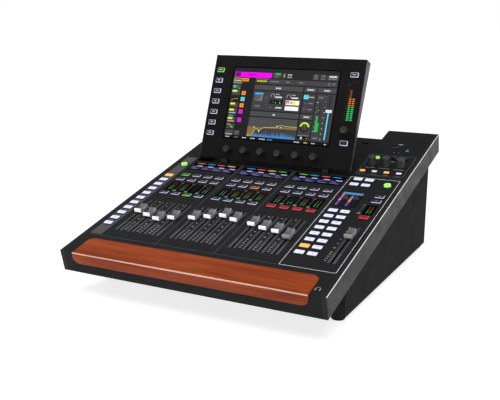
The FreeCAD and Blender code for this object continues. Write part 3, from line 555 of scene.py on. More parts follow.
# ---- palm rest ----
def make_palm_rest():
    """Wooden bar with a bull-nosed front edge, rounded back corners and rounded lower ends."""
    box = node_box("armrest", SURFACE)
    corner, nose, ease = 12.0, 1.9, 1.2
    middle = box.x
    half = box.width / 2

    def section(reach):
        """Outline across the bar at `reach` from its end: (y, z) from the back top to the back foot."""
        run = min(reach, corner)
        drop = corner - math.sqrt(max(corner ** 2 - (corner - run) ** 2, 0.0))
        back = box.y1 - drop
        low = box.z0 + drop
        points = [(back, box.z1 - ease), (back - ease * 0.3, box.z1 - ease * 0.3), (back - ease, box.z1)]
        points += [(back - ease - 0.8, box.z1), (box.y0 + nose + 0.5, box.z1)]
        for k in range(9):
            turn = math.radians(90 + 90 * k / 8)
            points.append((box.y0 + nose + nose * math.cos(turn), box.z1 - nose + nose * math.sin(turn)))
        foot = 2.5
        points += [(box.y0, box.z1 - nose - 0.5), (box.y0, low + foot + 0.4)]
        for k in range(5):
            turn = math.radians(180 + 90 * k / 4)
            points.append((box.y0 + foot + foot * math.cos(turn), low + foot + foot * math.sin(turn)))
        points.append((back, low))
        return points

    piece = Piece("palm_rest")
    reaches = [0.0, 0.15, 0.6, 1.4, 2.6, 4.2, 6.2, 8.6, corner]
    inner = [half - corner - (2 * (half - corner)) * k / 12 for k in range(1, 12)]
    xs = [half - r for r in reaches] + inner + [-(half - r) for r in reversed(reaches)]
    rings = []
    for x in xs:
        reach = half - abs(x)
        pull = ease * (1 - min(reach / 1.4, 1.0)) ** 2
        ring = []
        for y, z in section(reach):
            along = pull if y < box.y + 8 else -pull * 0.4
            down = pull if z > box.z else -pull
            ring.append((middle + x, y + along, z - down))
        rings.append(ring)
    nose_start = 5
    # The nose faces take the pale wood, a painted highlight along the front edge.
    piece.loft(rings, WOOD, bands={k: WOOD_HIGHLIGHT for k in range(nose_start + 1, nose_start + 7)})
    piece.build("console", "rest_wood", ["armrest"])


# ---- keys ----
KEY_TRIM = 0.4                # how much smaller a drawn keycap is than its CAD cap, on each side
MONITOR_TRIM = 1.4            # the same for the keys of the monitor row
# White keys get the darker side colour as painted shade.
KEY_SHADED_SIDES = {KEY_WHITE: KEY_SIDE_SHADE}
LARGE_KEY = 16.0              # menu keys at least this wide are not small ones


def glyph(piece, kind, x, y, z, width, material):
    """Small plain marks on a key: bars, a dot or an arrow, with no lettering. Any other kind is blank."""
    w = width / 2
    if kind == "bar":
        piece.flat(x - w, x + w, y - 0.55, y + 0.55, material, z)
    elif kind == "bars":
        piece.flat(x - w, x + w, y + 0.4, y + 1.2, material, z)
        piece.flat(x - w * 0.6, x + w * 0.6, y - 1.2, y - 0.4, material, z)
    elif kind == "dot":
        piece.dot(x, y, 1.0, material, z)
    elif kind == "arrow":
        piece.prism([(x - w * 0.7, y - 1.1), (x + w * 0.7, y - 1.1), (x, y + 1.3)], z + PRINT_LOW,
                    z + PRINT_HIGH, material)


def cap_outline(box, trim, wider=0.0):
    """Edges of the cap of a key whose box includes its wider foot."""
    inset = FOOT_LIP + trim
    return box.x0 + inset - wider, box.x1 - inset + wider, box.y0 + inset, box.y1 - inset


def plain_key(piece, box, material, kind="bar", mark=GLYPH_DARK, trim=KEY_TRIM):
    """Lit keycap with a slightly dished top."""
    x0, x1, y0, y1 = cap_outline(box, trim)
    piece.pad(x0 + 0.1, x1 - 0.1, y0 + 0.1, y1 - 0.1, box.z0 + 1, box.z1 - 1.0, 1.2, PAD, 0.1)
    # The band round the cap's top takes the darker side colour for white keys: painted shade.
    piece.pad(x0, x1, y0, y1, box.z1 - 1.4, box.z1 - 0.5, 1.3, KEY_SHADED_SIDES.get(material, material), 0.2)
    piece.pad(x0 + 0.15, x1 - 0.15, y0 + 0.15, y1 - 0.15, box.z1 - 0.8, box.z1, 1.2, material, 0.3)
    glyph(piece, kind, box.x, box.y, box.z1, (x1 - x0) * 0.3, mark)


def framed_key(piece, box, body, pad, kind="bar", mark=GLYPH_PALE, trim=KEY_TRIM, rim=0.75, thin=0.1,
               wider=0.0):
    """Dark keycap with a lit band round its top, which shows in front and to the right of its pad."""
    x0, x1, y0, y1 = cap_outline(box, max(trim, 0.0))
    piece.pad(x0 + 0.1, x1 - 0.1, y0 + 0.1, y1 - 0.1, box.z0 + 1, box.z1 - 1.0, 1.2, PAD, 0.1)
    x0, x1, y0, y1 = cap_outline(box, trim, wider)
    piece.pad(x0, x1, y0, y1, box.z1 - 1.3, box.z1 - 0.25, 1.3, body, 0.2)
    piece.pad(x0 + thin, x1 - rim, y0 + rim, y1 - thin, box.z1 - 0.6, box.z1, 0.9, pad, 0.15)
    glyph(piece, kind, box.x - rim / 2, box.y + rim * 0.4, box.z1, (x1 - x0) * 0.42, mark)


def in_rows(boxes):
    """Boxes sorted by row from the front, then from the left."""
    return sorted(boxes, key=lambda box: (round(box.y), box.x))


def make_channel_keys():
    """Select, solo and mute keys, in banks of four."""
    pads = {KEY_LAVENDER: PAD, KEY_GREEN: PAD_GREEN, KEY_PEACH: PAD_ORANGE, KEY_RED: PAD_RED}
    lit_keys = {"select": {0: KEY_GREEN}, "solo": {6: KEY_PEACH},
                "mute": {2: KEY_GREEN, 8: KEY_RED, 9: KEY_RED, 10: KEY_RED, 11: KEY_RED, 12: KEY_RED}}
    marks = {KEY_RED: emitter("glyph_red", "#7c1c24", 0.5), KEY_GREEN: emitter("glyph_green", "#8fce78", 0.5),
             KEY_PEACH: emitter("glyph_peach", "#f0c49a", 0.5)}
    for row, shown in lit_keys.items():
        node = row + "_buttons"
        piece = Piece(row + "_keys")
        for k, box in enumerate(in_rows(solid_boxes(node, SURFACE))):
            body = shown.get(k, KEY_LAVENDER)
            framed_key(piece, box, body, pads[body], "bar", marks.get(body, GLYPH_PALE))
        piece.build(node, "key_red" if row == "mute" else "key_grey", [node])


def make_layer_keys():
    piece = Piece("layer_keys")
    boxes = in_rows(solid_boxes("layer_buttons", SURFACE))
    for k, box in enumerate(boxes):
        material = KEY_ORANGE if k == len(boxes) - 1 else KEY_WHITE
        plain_key(piece, box, material, "dot" if k < 2 else "bar", BLACK if k < 2 else GLYPH_PALE)
    piece.build("layer_buttons", "key_white", ["layer_buttons"])


def make_block_keys():
    piece = Piece("block_keys")
    for k, box in enumerate(in_rows(solid_boxes("block_buttons", SURFACE))):
        material = KEY_ORANGE if k == 2 else KEY_WHITE
        dotted = k % 3 == 1
        plain_key(piece, box, material, "dot" if dotted else "bar", GLYPH_DARK if dotted else GLYPH_PALE)
    piece.build("block_buttons", "key_white", ["block_buttons"])


def make_menu_keys():
    """Four menu keys, the monitor row and the pair beside the small screen."""
    boxes = solid_boxes("menu_buttons", SURFACE)
    small = [box for box in boxes if box.width < LARGE_KEY]
    large = [box for box in boxes if box.width >= LARGE_KEY]
    edge = max(box.y for box in large)
    piece = Piece("menu_keys")
    for box in large:
        plain_key(piece, box, KEY_WHITE, "bar", GLYPH_PALE)
    monitor = in_rows([box for box in small if box.y > edge])
    for k, box in enumerate(monitor):
        plain_key(piece, box, KEY_WHITE if k % 2 else KEY_ORANGE, "bar", GLYPH_PALE, MONITOR_TRIM)
    for box in small:
        if box.y < edge:
            framed_key(piece, box, KEY_LAVENDER, PAD, "arrow", GLYPH_PALE, -0.4, wider=1.2)
    piece.build("menu_buttons", "key_white", ["menu_buttons"])


def make_round_keys():
    piece = Piece("round_keys")
    for box in solid_boxes("round_buttons", SURFACE):
        radius = box.width / 2 - FOOT_LIP - 0.8
        top = box.z1
        piece.turned(box.x, box.y, [(radius, box.z0 + 1), (radius, top - 0.6), (radius - 0.25, top - 0.15),
                                    (radius - 0.8, top), (radius * 0.5, top - 0.1)], KEY_LIME)
        glyph(piece, "bar", box.x, box.y, top - 0.1, radius * 0.9, GLYPH_DARK)
    piece.build("round_buttons", "key_green", ["round_buttons"])


def make_head_keys():
    """Keys beside the display: seven on the left, two on the right."""
    piece = Piece("display_keys", HEAD)
    pale = emitter("glyph_bright", "#dddbe8", 0.95)
    boxes = sorted(solid_boxes("display_buttons", HEAD), key=lambda box: (box.x > 0, box.y))
    for k, box in enumerate(boxes):
        top_left = k == len(boxes) - 3
        body = KEY_GREEN if top_left else KEY_LAVENDER
        kind = "none" if k == len(boxes) - 2 else ("bars" if k % 2 else "bar")
        framed_key(piece, box, body, PAD_GREEN if top_left else PAD, kind,
                   KEY_LIME if top_left else pale, 0.0, 1.25, 0.55)
    piece.build("display_buttons", "key_grey", ["display_buttons"])


def make_keys():
    make_channel_keys()
    make_layer_keys()
    make_block_keys()
    make_menu_keys()
    make_round_keys()
    make_head_keys()


# ---- faders and knobs ----
FADERS = ["fader_%d" % (k + 1) for k in range(12)] + ["main_fader"]
SILVER_NOSES = ("fader_12", "main_fader")
ROD_DEPTH = -14.0             # guide rod of a fader
ROD_ROOM = 1.7                # half the opening round it in the carriage
CARRIAGE_HALF = 3.0
KNOB_FOOT = 0.6               # gap between a knob and the face it stands on
SHAFT_RADIUS = 2.85


def make_fader(node):
    """Finger cap with a dished top, a right wall made lighter as a painted highlight and a pale nose plate
    that glows as painted light, on a steel lever with a carriage.
    """
    whole = node_box(node, SURFACE)
    x, y, half = whole.x, whole.y, whole.length / 2
    foot, top, dip = 1.2, whole.z1, whole.z1 - 2.9
    plate, wall, drop = 1.1, 0.9, 0.7
    profile = [(-half + plate, foot), (-half + plate + 0.5, top - 0.9)]
    for k in range(11):
        share = k / 10
        low = top - 0.6 - (top - 0.6 - dip) * math.sin(math.pi * share) ** 1.2
        profile.append((-half + plate + 1.2 + (2 * half - plate - 3.2) * share, low - drop * share))
    profile += [(half - 1.0, top - drop - 0.3), (half - 0.5, top - drop - 1.2), (half, foot)]
    cap = Piece(node + "_cap")
    wide = whole.width / 2
    rings = []
    for across in (-wide + wall - 0.1, wide - wall + 0.1):
        rings.append([(x + across, y + py, pz) for py, pz in profile])
    cap.loft(rings, CAP)
    for side in (-1, 1):
        walls = []
        for inset, across in ((0.35, side * wide), (0.05, side * (wide - 0.3)), (0.05, side * (wide - wall))):
            walls.append([(x + across, y + py * (1 - inset / half),
                           pz + 0.35 - inset if pz > foot + 1 else pz) for py, pz in profile])
        # The right wall takes the lighter grey, a painted highlight; the left wall keeps the cap grey.
        cap.loft(walls, CAP_SIDE_HIGHLIGHT if side > 0 else CAP)
    face = [(-half, foot + 2.4), (-half + 0.3, top - 1.1), (-half + 0.8, top - 0.5),
            (-half + plate + 0.9, top - 0.5), (-half + plate + 0.4, foot + 2.4)]
    # The white nose plate glows a little: painted light.
    nose = CAP_SILVER if node in SILVER_NOSES else CAP_WHITE_GLOW
    cap.loft([[(x + across, y + py + cut * 0.5, pz - (cut if pz > foot + 3 else 0)) for py, pz in face]
              for cut, across in ((0.3, -wide), (0.0, -wide + 0.35), (0.0, wide - 0.35), (0.3, wide))], nose)
    cap.slab(x - 0.9, x + 0.9, y - 4, y + 4, -11.5, foot + 0.2, STEEL)
    for side in (-1, 1):
        low, high = sorted((side * ROD_ROOM, side * CARRIAGE_HALF))
        cap.slab(x + low, x + high, y - 5, y + 5, ROD_DEPTH - CARRIAGE_HALF, ROD_DEPTH + CARRIAGE_HALF,
                 BLACK)
        cap.slab(x - ROD_ROOM - 0.1, x + ROD_ROOM + 0.1, y - 4.9, y + 4.9, ROD_DEPTH + low, ROD_DEPTH + high,
                 BLACK)
    cap.build(node, "cap_white", [node])


def make_knob(node, place, finish):
    """Fluted finger knob with a skirt, a dished face and, on the surface, a pointer line."""
    box = node_box(node, place)
    x, y, radius, foot, top = box.x, box.y, box.width / 2, KNOB_FOOT, box.z1
    piece = Piece(node + "_grip", place)
    tall = top - foot
    profile = [(radius * 0.97, foot), (radius, foot + 0.5), (radius, foot + 1.4),
               (radius * 0.985, foot + 1.7),
               (radius * 0.985, foot + 2.2, True), (radius * 0.975, foot + tall * 0.55, True),
               (radius * 0.965, top - 1.5, True), (radius * 0.96, top - 0.9), (radius * 0.94, top - 0.35),
               (radius * 0.89, top), (radius * 0.8, top - 0.05), (radius * 0.7, top - 0.25),
               (radius * 0.3, top - 0.35)]
    piece.turned(x, y, profile, finish, 72, 24, 0.22)
    piece.turned(x, y, [(SHAFT_RADIUS, box.z0), (SHAFT_RADIUS, foot + 0.3)], STEEL, 24)
    if place is SURFACE:
        piece.slab(x - 0.35, x + 0.35, y + radius * 0.3, y + radius * 0.78, top - 0.5, top + 0.02, INK_METER)
    piece.build(node, "knob_plastic", [node])


def make_controls():
    for node in FADERS:
        make_fader(node)
    for k in range(3):
        make_knob("monitor_knob_%d" % (k + 1), SURFACE, KNOB_TALL)
    for k in range(6):
        make_knob("display_knob_%d" % (k + 1), HEAD, KNOB)
    make_knob("display_side_knob", HEAD, KNOB)


# ---- prints on the surface ----
SEAM = 59.5                   # where the top panel starts
SECTION_TOP = 372.7           # top of the fader section
BANK_LINES = (-85.5, 21.8)
BLOCK_FRAME = (131.4, 220.8)
STRIPES = ((-6.9, -2.0), (2.0, 6.6))
STRIPE_STEP = 30.0            # where the lighter foot of the stripes ends
SLOT_LENGTH = 112.0
SLOT_END_GAP = 6.0            # from the lowest place of a cap's middle to the end of its slot
SCALE_ASIDE = 12.1            # from a channel's slot to its scale
MAIN_SCALE_ASIDE = -11.4
DIGIT_HIGH = 2.2
MONITOR_FRAME = (134.5, 220.0, 386.2, 477.0)
PORT_LABELS = ((169.5, 172.0, 469.0, 471.2), (180.0, 183.0, 469.0, 471.2), (197.0, 203.5, 469.0, 471.2),
               (178.5, 187.5, 448.8, 451.0))
PORT_PATCHES = ((175.0, 187.5, 455.5, 461.0), (200.5, 208.5, 454.5, 461.0))
TALK_PLACE = (177.0, 505.0)   # middle of the talkback holes
LAYER_STRIP = (-217.5, -194.8, 63.0, 384.0)
HEADPHONE_PLACE = (211.8, 17.0)
SCALE_MARKS = (("10", 108.8), ("5", 95.8), ("0", 82.8), ("5", 69.8), ("10", 56.8), ("20", 43.8), ("30", 30.8),
               ("40", 24.4), ("50", 18.0), ("60", 11.6), ("00", 5.2))
SEGMENTS = {"0": "abcdef", "1": "bc", "2": "abged", "3": "abgcd", "4": "fgbc", "5": "afgcd", "6": "afgcde"}


def digit(piece, text, x, y, high, material):
    """Seven-segment style digits, centred on (x, y)."""
    wide, stroke, gap = high * 0.55, high * 0.16, high * 0.3
    left = x - (len(text) * wide + (len(text) - 1) * gap) / 2
    for mark in text:
        x0, x1, y0, y1 = left, left + wide, y - high / 2, y + high / 2
        bars = {"a": (x0, x1, y1 - stroke, y1), "d": (x0, x1, y0, y0 + stroke),
                "g": (x0, x1, y - stroke / 2, y + stroke / 2),
                "f": (x0, x0 + stroke, y, y1), "b": (x1 - stroke, x1, y, y1),
                "e": (x0, x0 + stroke, y0, y), "c": (x1 - stroke, x1, y0, y)}
        for lift, segment in enumerate(SEGMENTS[mark]):
            piece.flat(*bars[segment], material, 0.0, lift * 0.001)
        left += wide + gap


def make_fader_prints():
    """Grey stripes beside each slot, and level scales between the slots of a bank."""
    piece = Piece("fader_prints")
    boxes = [node_box(node, SURFACE) for node in FADERS]
    front = boxes[0].y + JOINTS["fader_1_slide"]["range_m"][0] / MM - SLOT_END_GAP
    for number, box in enumerate(boxes):
        x = box.x
        for x0, x1 in STRIPES:
            piece.flat(x + x0, x + x1, front, front + STRIPE_STEP, INK_STRIPE)
            piece.flat(x + x0, x + x1, front + STRIPE_STEP, front + SLOT_LENGTH, INK_STRIPE_DIM)
        if number % 4 == 3:
            continue
        at = x + (MAIN_SCALE_ASIDE if FADERS[number] == "main_fader" else SCALE_ASIDE)
        for text, up in SCALE_MARKS:
            digit(piece, text, at, front + up, DIGIT_HIGH, INK_SCALE)
    piece.build("console")


def make_layer_strip():
    """Lighter strip under the layer keys, in bands between and beside them."""
    x0, x1, y0, y1 = LAYER_STRIP
    boxes = in_rows(solid_boxes("layer_buttons", SURFACE)) + [
        box for box in solid_boxes("round_buttons", SURFACE) if box.x < 0]
    piece = Piece("layer_strip")
    hole0 = boxes[0].x0 + FOOT_LIP - 0.4
    hole1 = boxes[0].x1 - FOOT_LIP + 0.4
    piece.flat(x0, hole0, y0, y1, INK_BLOCK)
    piece.flat(hole1, x1, y0, y1, INK_BLOCK)
    low = y0
    for box in boxes:
        piece.flat(hole0, hole1, low, box.y0 + FOOT_LIP - 0.4, INK_BLOCK)
        low = box.y1 - FOOT_LIP + 0.4
    piece.flat(hole0, hole1, low, y1, INK_BLOCK)
    piece.build("console")


def make_section_lines():
    piece = Piece("section_lines")
    for x in BANK_LINES:
        piece.flat(x - 0.3, x + 0.3, SEAM + 1.2, SECTION_TOP - 2, INK_DIM)
    piece.flat(LAYER_STRIP[0] + 0.5, BLOCK_FRAME[0] - 2, SEAM + 0.4, SEAM + 0.9, INK_DIM)
    left, right = BLOCK_FRAME
    piece.line(rounded(left, right, SEAM + 1.5, SECTION_TOP, 1.6), 0.65, INK_WHITE, 0.0, True)
    piece.line(rounded(*MONITOR_FRAME, 2.5), 0.8, INK_DIM, 0.0, True)
    for k in range(3):
        knob = node_box("monitor_knob_%d" % (k + 1), SURFACE)
        piece.flat(knob.x - 9.5, knob.x + 9.0, knob.y - 12.9, knob.y - 11.1, INK_METER)
        for turn in range(-150, 151, 30):
            a = math.radians(90 - turn)
            tick = [(knob.x + r * math.cos(a), knob.y + r * math.sin(a)) for r in (9.0, 9.8)]
            piece.line(tick, 0.35, INK_DIM)
    for box in solid_boxes("menu_buttons", SURFACE):
        if box.y > SECTION_TOP:
            piece.flat(box.x - 5.5, box.x + 5.5, box.y0 - 4.2, box.y0 - 2.4, INK_DIM)
    make_talk_ring(piece, *TALK_PLACE)
    for edges in PORT_LABELS:
        piece.flat(*edges, INK_METER)
    for edges in PORT_PATCHES:
        piece.flat(*edges, DARK_HOLE)
    piece.build("console")


def make_talk_ring(piece, x, y):
    """Ring, label bar and small marks around the talkback holes."""
    piece.flat(x - 7, x + 2.5, y + 23.5, y + 27.0, INK_GREY)
    for start in (-25, 35, 115, 170, 255):
        piece.line(arc(x, y, 10.5, start, start + 34, 6), 1.5, DARK_HOLE)
    for turn in (108, 133, 252, 288):
        a = math.radians(turn)
        piece.dot(x + 14.0 * math.cos(a), y + 14.0 * math.sin(a), 1.1, INK_GREY)
    wedge = [(x + 14.5, y - 5.5), (x + 22.0, y - 5.0), (x + 17.0, y + 7.0)]
    piece.prism(wedge, PRINT_LOW, PRINT_HIGH, INK_METER)


def make_headphone_mark():
    """Headphone symbol on the front shell over the jack."""
    piece = Piece("headphone_mark")
    (x, y), r = HEADPHONE_PLACE, 3.4
    piece.line([(x - r, y - 2.4)] + arc(x, y, r, 180, 0, 14) + [(x + r, y - 2.4)], 0.7, INK_GREY)
    for side in (-1, 1):
        piece.flat(x + side * r - 0.9, x + side * r + 0.9, y - 4.4, y - 1.2, INK_GREY)
    piece.build("console")


def make_prints():
    make_fader_prints()
    make_layer_strip()
    make_section_lines()
    make_headphone_mark()


# ---- windows and meters ----
STRIP_COLORS = (("#d9603a", "#2489c6", "#cc5358", "#c6bf4c"), ("#2489c6", "#cc5358", "#c6bf4c", "#48a83c"),
                ("#59b83f", "#2196c9", "#d0555a", "#1f83b0"))
METER_LEVELS = ((15, 16, 0, 15), (12, 12, 15, 12), (16, 5, 15, 15))
METER_ROWS = 18
METER_GREEN = 7
METER_PITCH = 24.1
SEGMENT_PITCH = 1.617
SEGMENT_HIGH = 1.023
COLUMN_ASIDE = 2.6            # from the middle of a meter to each of its two columns
COLUMN_FOOT = 5.6


def windows():
    """Boxes of the panes: name strips, meter windows (the main one last) and the small screen."""
    boxes = solid_boxes("window_panes", SURFACE)
    strips = sorted([box for box in boxes if box.width > 95], key=lambda box: box.x)
    meters = sorted([box for box in boxes if 80 < box.width < 95 or box.width < 20], key=lambda box: box.x)
    screen = [box for box in boxes if 30 < box.width < 60][0]
    return strips, meters, screen


def lens(piece, x, y, half, high, material, base):
    """Colour bar that swells in its middle."""
    steps = 14
    upper = [(x - half + 2 * half * k / steps, y + high * math.sin(math.pi * k / steps) ** 0.8 + 0.4)
             for k in range(steps + 1)]
    lower = [(x - half + 2 * half * k / steps, y - high * math.sin(math.pi * k / steps) ** 0.8 - 0.4)
             for k in range(steps, -1, -1)]
    piece.prism(upper + lower, base + PRINT_LOW, base + PRINT_HIGH, material)


def make_name_strips(strips):
    """Coloured bars and an indigo name display with drawn marks over each bank."""
    pitch = 23.7
    indigo = emitter("strip_indigo", "#1d183a", 0.9)
    chip = emitter("strip_chip", "#b9b5e2", 0.95)
    mark = emitter("strip_mark", "#9a95cf", 0.85)
    for number, (box, colors) in enumerate(zip(strips, STRIP_COLORS)):
        piece = Piece("name_strip_%d" % (number + 1))
        base = box.z1
        dice = random.Random(number)
        for k, color in enumerate(colors):
            x = box.x + 21.7 * (k - 1.5)
            bar = emitter("strip_bar_%d_%d" % (number, k), color, 0.8)
            lens(piece, x, box.y0 + 30.8, 9.6, 1.8, bar, base)
        low, high = box.y0 + 5.0, box.y0 + 22.0
        piece.flat(box.x - 2 * pitch, box.x + 2 * pitch, low, high, indigo, base)
        over = base + PRINT_HIGH
        for k in range(4):
            x = box.x + pitch * (k - 1.5)
            piece.flat(x - 0.5, x + pitch / 2 - 1.2, high - 4.2, high - 1.0, chip, over)
            for stroke in range(3):
                sx = x - pitch / 2 + 3.0 + stroke * 3.4 + dice.uniform(-0.6, 0.6)
                sy = low + 4.0 + dice.uniform(0, 2.0)
                points = [(sx, sy), (sx + 1.2, sy + 3.2 + dice.uniform(0, 3)),
                          (sx + 2.4, sy + dice.uniform(-1, 3))]
                piece.line(points, 0.6, mark, over, False, 0.002 * stroke)
            piece.flat(x - 8, x + 5 + dice.uniform(0, 4), low + 1.3, low + 2.3, mark, over)
        piece.build("console", "screen")


def led_column(piece, x, y0, level, base):
    """Column of LED segments, lit up to level."""
    for row in range(METER_ROWS):
        y = y0 + row * SEGMENT_PITCH
        half = 0.8
        if row < min(level, METER_GREEN):
            material = LED_GREEN
        elif row < level:
            material, half = LED_DIM_ORANGE, 0.55
        else:
            material = LED_OFF
        piece.flat(x - half, x + half, y, y + SEGMENT_HIGH, material, base)


def scale_mark(piece, x, y0, y1, base):
    """Grey I-shaped scale between two meters."""
    piece.flat(x - 0.5, x + 0.5, y0 + 3.6, y1 - 3.6, INK_STRIPE, base)
    piece.flat(x - 3.0, x + 3.0, y0, y0 + 3.6, INK_METER, base)
    piece.flat(x - 3.0, x + 3.0, y1 - 3.6, y1, INK_STRIPE, base)
    for k in range(1, 6):
        y = y0 + (y1 - y0) * k / 6
        piece.flat(x - 1.4, x + 1.4, y - 0.25, y + 0.25, INK_STRIPE, base, 0.001)


def make_meters(meters):
    piece = Piece("level_meters")
    for box, levels in zip(meters[:-1], METER_LEVELS):
        for k, level in enumerate(levels):
            x = box.x + METER_PITCH * (k - 1.5)
            for side in (-1, 1):
                led_column(piece, x + 0.9 + side * COLUMN_ASIDE, box.y0 + COLUMN_FOOT, level, box.z1)
            if k < 3:
                scale_mark(piece, x + 13.4, box.y0 + 0.8, box.y1 - 0.8, box.z1)
    main = meters[-1]
    for side in (-1, 1):
        led_column(piece, main.x + 0.6 + side * COLUMN_ASIDE, main.y0 + COLUMN_FOOT, 15, main.z1)
    scale_mark(piece, main.x - 14.0, main.y0 + 1.8, main.y1 - 0.8, 0.0)
    piece.build("console", "screen")


def make_small_screen(box):
    """Routing list on the small screen: header and two columns of coloured tiles."""
    piece = Piece("small_screen_image")
    base = box.z1
    x0, x1, y0, y1 = box.x0 + 0.8, box.x1 - 0.8, box.y0 + 0.8, box.y1 - 0.8
    colors = {name: emitter("small_" + name, code, 0.85) for name, code in (
        ("blue", "#5b8fbd"), ("orange", "#e08a3c"), ("magenta", "#c653b4"), ("lime", "#a3b93c"),
        ("violet", "#8a3fb8"), ("indigo", "#3a3fd0"), ("teal", "#5aa0a0"), ("grey", "#17181a"),
        ("dim", "#0d0e0f"), ("plum", "#3a2640"), ("text", "#6a6b6e"))}
    piece.flat(x0, x1, y0, y1, colors["dim"], base)
    over = base + PRINT_HIGH
    piece.flat(x0 + 0.4, x1 - 0.4, y1 - 7.5, y1 - 0.4, colors["blue"], over)
    columns = ((x0 + 1.0, ("orange", "magenta", "magenta", "lime", "violet", "violet", "violet")),
               (box.x + 0.4, ("indigo", "teal", "magenta", "orange", "lime", "violet", "violet", "violet")))
    for left, names in columns:
        high = (y1 - 9 - y0 - 1) / len(names)
        for k, name in enumerate(names):
            top = y1 - 8.4 - high * k
            piece.flat(left, left + 4.2, top - high + 0.5, top, colors[name], over)
            tile = colors["plum" if k == 2 else "grey"]
            piece.flat(left + 5.2, left + 16.5, top - high + 0.5, top, tile, over)
            if k < 3:
                piece.flat(left + 6.2, left + 10 + (k * 7 % 5), top - high * 0.62, top - high * 0.42,
                           colors["text"], over + PRINT_HIGH)
    piece.build("console", "screen")


def make_windows():
    strips, meters, screen = windows()
    make_name_strips(strips)
    make_meters(meters)
    make_small_screen(screen)


# ---- main display ----
class Screen:
    """Flat drawing on the display's glass, in millimetres from the lit area's lower left corner."""

    def __init__(self, glass):
        self.piece = Piece("display_image", HEAD)
        self.x, self.y, self.base = glass.x0 + 2.0, glass.y0 + 2.0, glass.z1
        self.width, self.height = glass.width - 4.0, glass.length - 4.0
        self.inks = {}

    def ink(self, code):
        if code not in self.inks:
            self.inks[code] = emitter("ui_" + code[1:], code, 1.0)
        return self.inks[code]

    def box(self, x0, x1, y0, y1, code, layer=1):
        self.piece.flat(self.x + x0, self.x + x1, self.y + y0, self.y + y1, self.ink(code),
                        self.base + layer * PRINT_HIGH)

    def path(self, points, width, code, layer=3):
        self.piece.line([(self.x + x, self.y + y) for x, y in points], width, self.ink(code),
                        self.base + layer * PRINT_HIGH)

    def area(self, points, code, layer=2):
        low = self.base + layer * PRINT_HIGH
        self.piece.prism([(self.x + x, self.y + y) for x, y in points], low + PRINT_LOW, low + PRINT_HIGH,
                         self.ink(code))

    def label(self, x, y, width, code="#c8c8c8", high=2.2, layer=3):
        """Line of short dashes that stands for a caption."""
        left = x - width / 2
        step = 0
        while left < x + width / 2 - 0.8:
            dash = (2.6, 1.7, 3.1)[step % 3]
            right = min(left + dash, x + width / 2)
            self.box(left, right, y - high / 2, y + high / 2, code, layer)
            left = right + 0.7
            step += 1


UI_BAR = "#484849"
UI_PANEL = "#3d3d40"
UI_TILE = "#454648"
UI_DARK = "#1b1c1e"
UI_TEXT = "#d2d2d2"
UI_DIM = "#86878a"
UI_WHITE = "#f4f4f4"
UI_YELLOW = "#e2dc3c"
UI_GREEN = "#1fc04f"
UI_CYAN = "#62cdec"
UI_ORANGE = "#f0912a"
UI_MAGENTA = "#e214da"


def section(screen, x0, x1, top, foot, title):
    """Title bar over a plain panel that reaches down to foot."""
    screen.box(x0, x1, top - 9.5, top, UI_BAR)
    screen.label((x0 + x1) / 2, top - 5.0, title, UI_TEXT, 2.6)
    screen.box(x0, x1, foot, top - 11.8, UI_PANEL)


def header(screen):
    screen.box(0, 218.5, 120.6, 139.5, "#262628")
    screen.area([(3.6, 121.2), (81.3, 121.2), (82.0, 131.0), (3.6, 131.0)], "#f200ee")
    screen.box(5.2, 15.2, 122.2, 130.0, "#3c0a42", 3)
    screen.box(8.6, 11.4, 123.6, 128.6, "#9a139a", 4)
    screen.label(39.2, 126.3, 21.0, "#8a1590", 3.4)
    for x0, x1 in ((84.3, 101.3), (104.0, 111.2), (166.8, 178.5), (181.3, 193.0), (195.2, 216.8)):
        screen.box(x0, x1, 121.7, 132.2, UI_TILE, 2)
    screen.box(89.3, 100.2, 127.7, 131.7, "#1fae4f", 3)
    screen.label(92.5, 123.2, 6.0, UI_DIM, 1.2)
    flash = [(107.2, 123.2), (109.4, 126.6), (108.1, 127.0), (109.2, 130.2), (106.2, 126.8), (107.6, 126.4)]
    screen.area(flash, "#d8bc3a", 3)
    screen.label(120.0, 129.0, 10.0, "#b4b4b4", 2.6)
    screen.label(120.0, 124.4, 10.0, "#a4a4a4", 2.2)
    screen.path(arc(172.6, 128.4, 1.9, 0, 330, 11), 0.8, UI_DIM)
    screen.path(arc(187.2, 128.4, 2.2, 200, -20, 9), 0.8, UI_DIM)
    for x in (172.6, 187.2):
        screen.label(x, 123.6, 7.0, UI_DIM, 1.0)
    screen.label(206.6, 128.7, 14.5, "#e6e6e6", 2.8)
    screen.label(206.2, 124.4, 16.0, UI_DIM, 1.4)


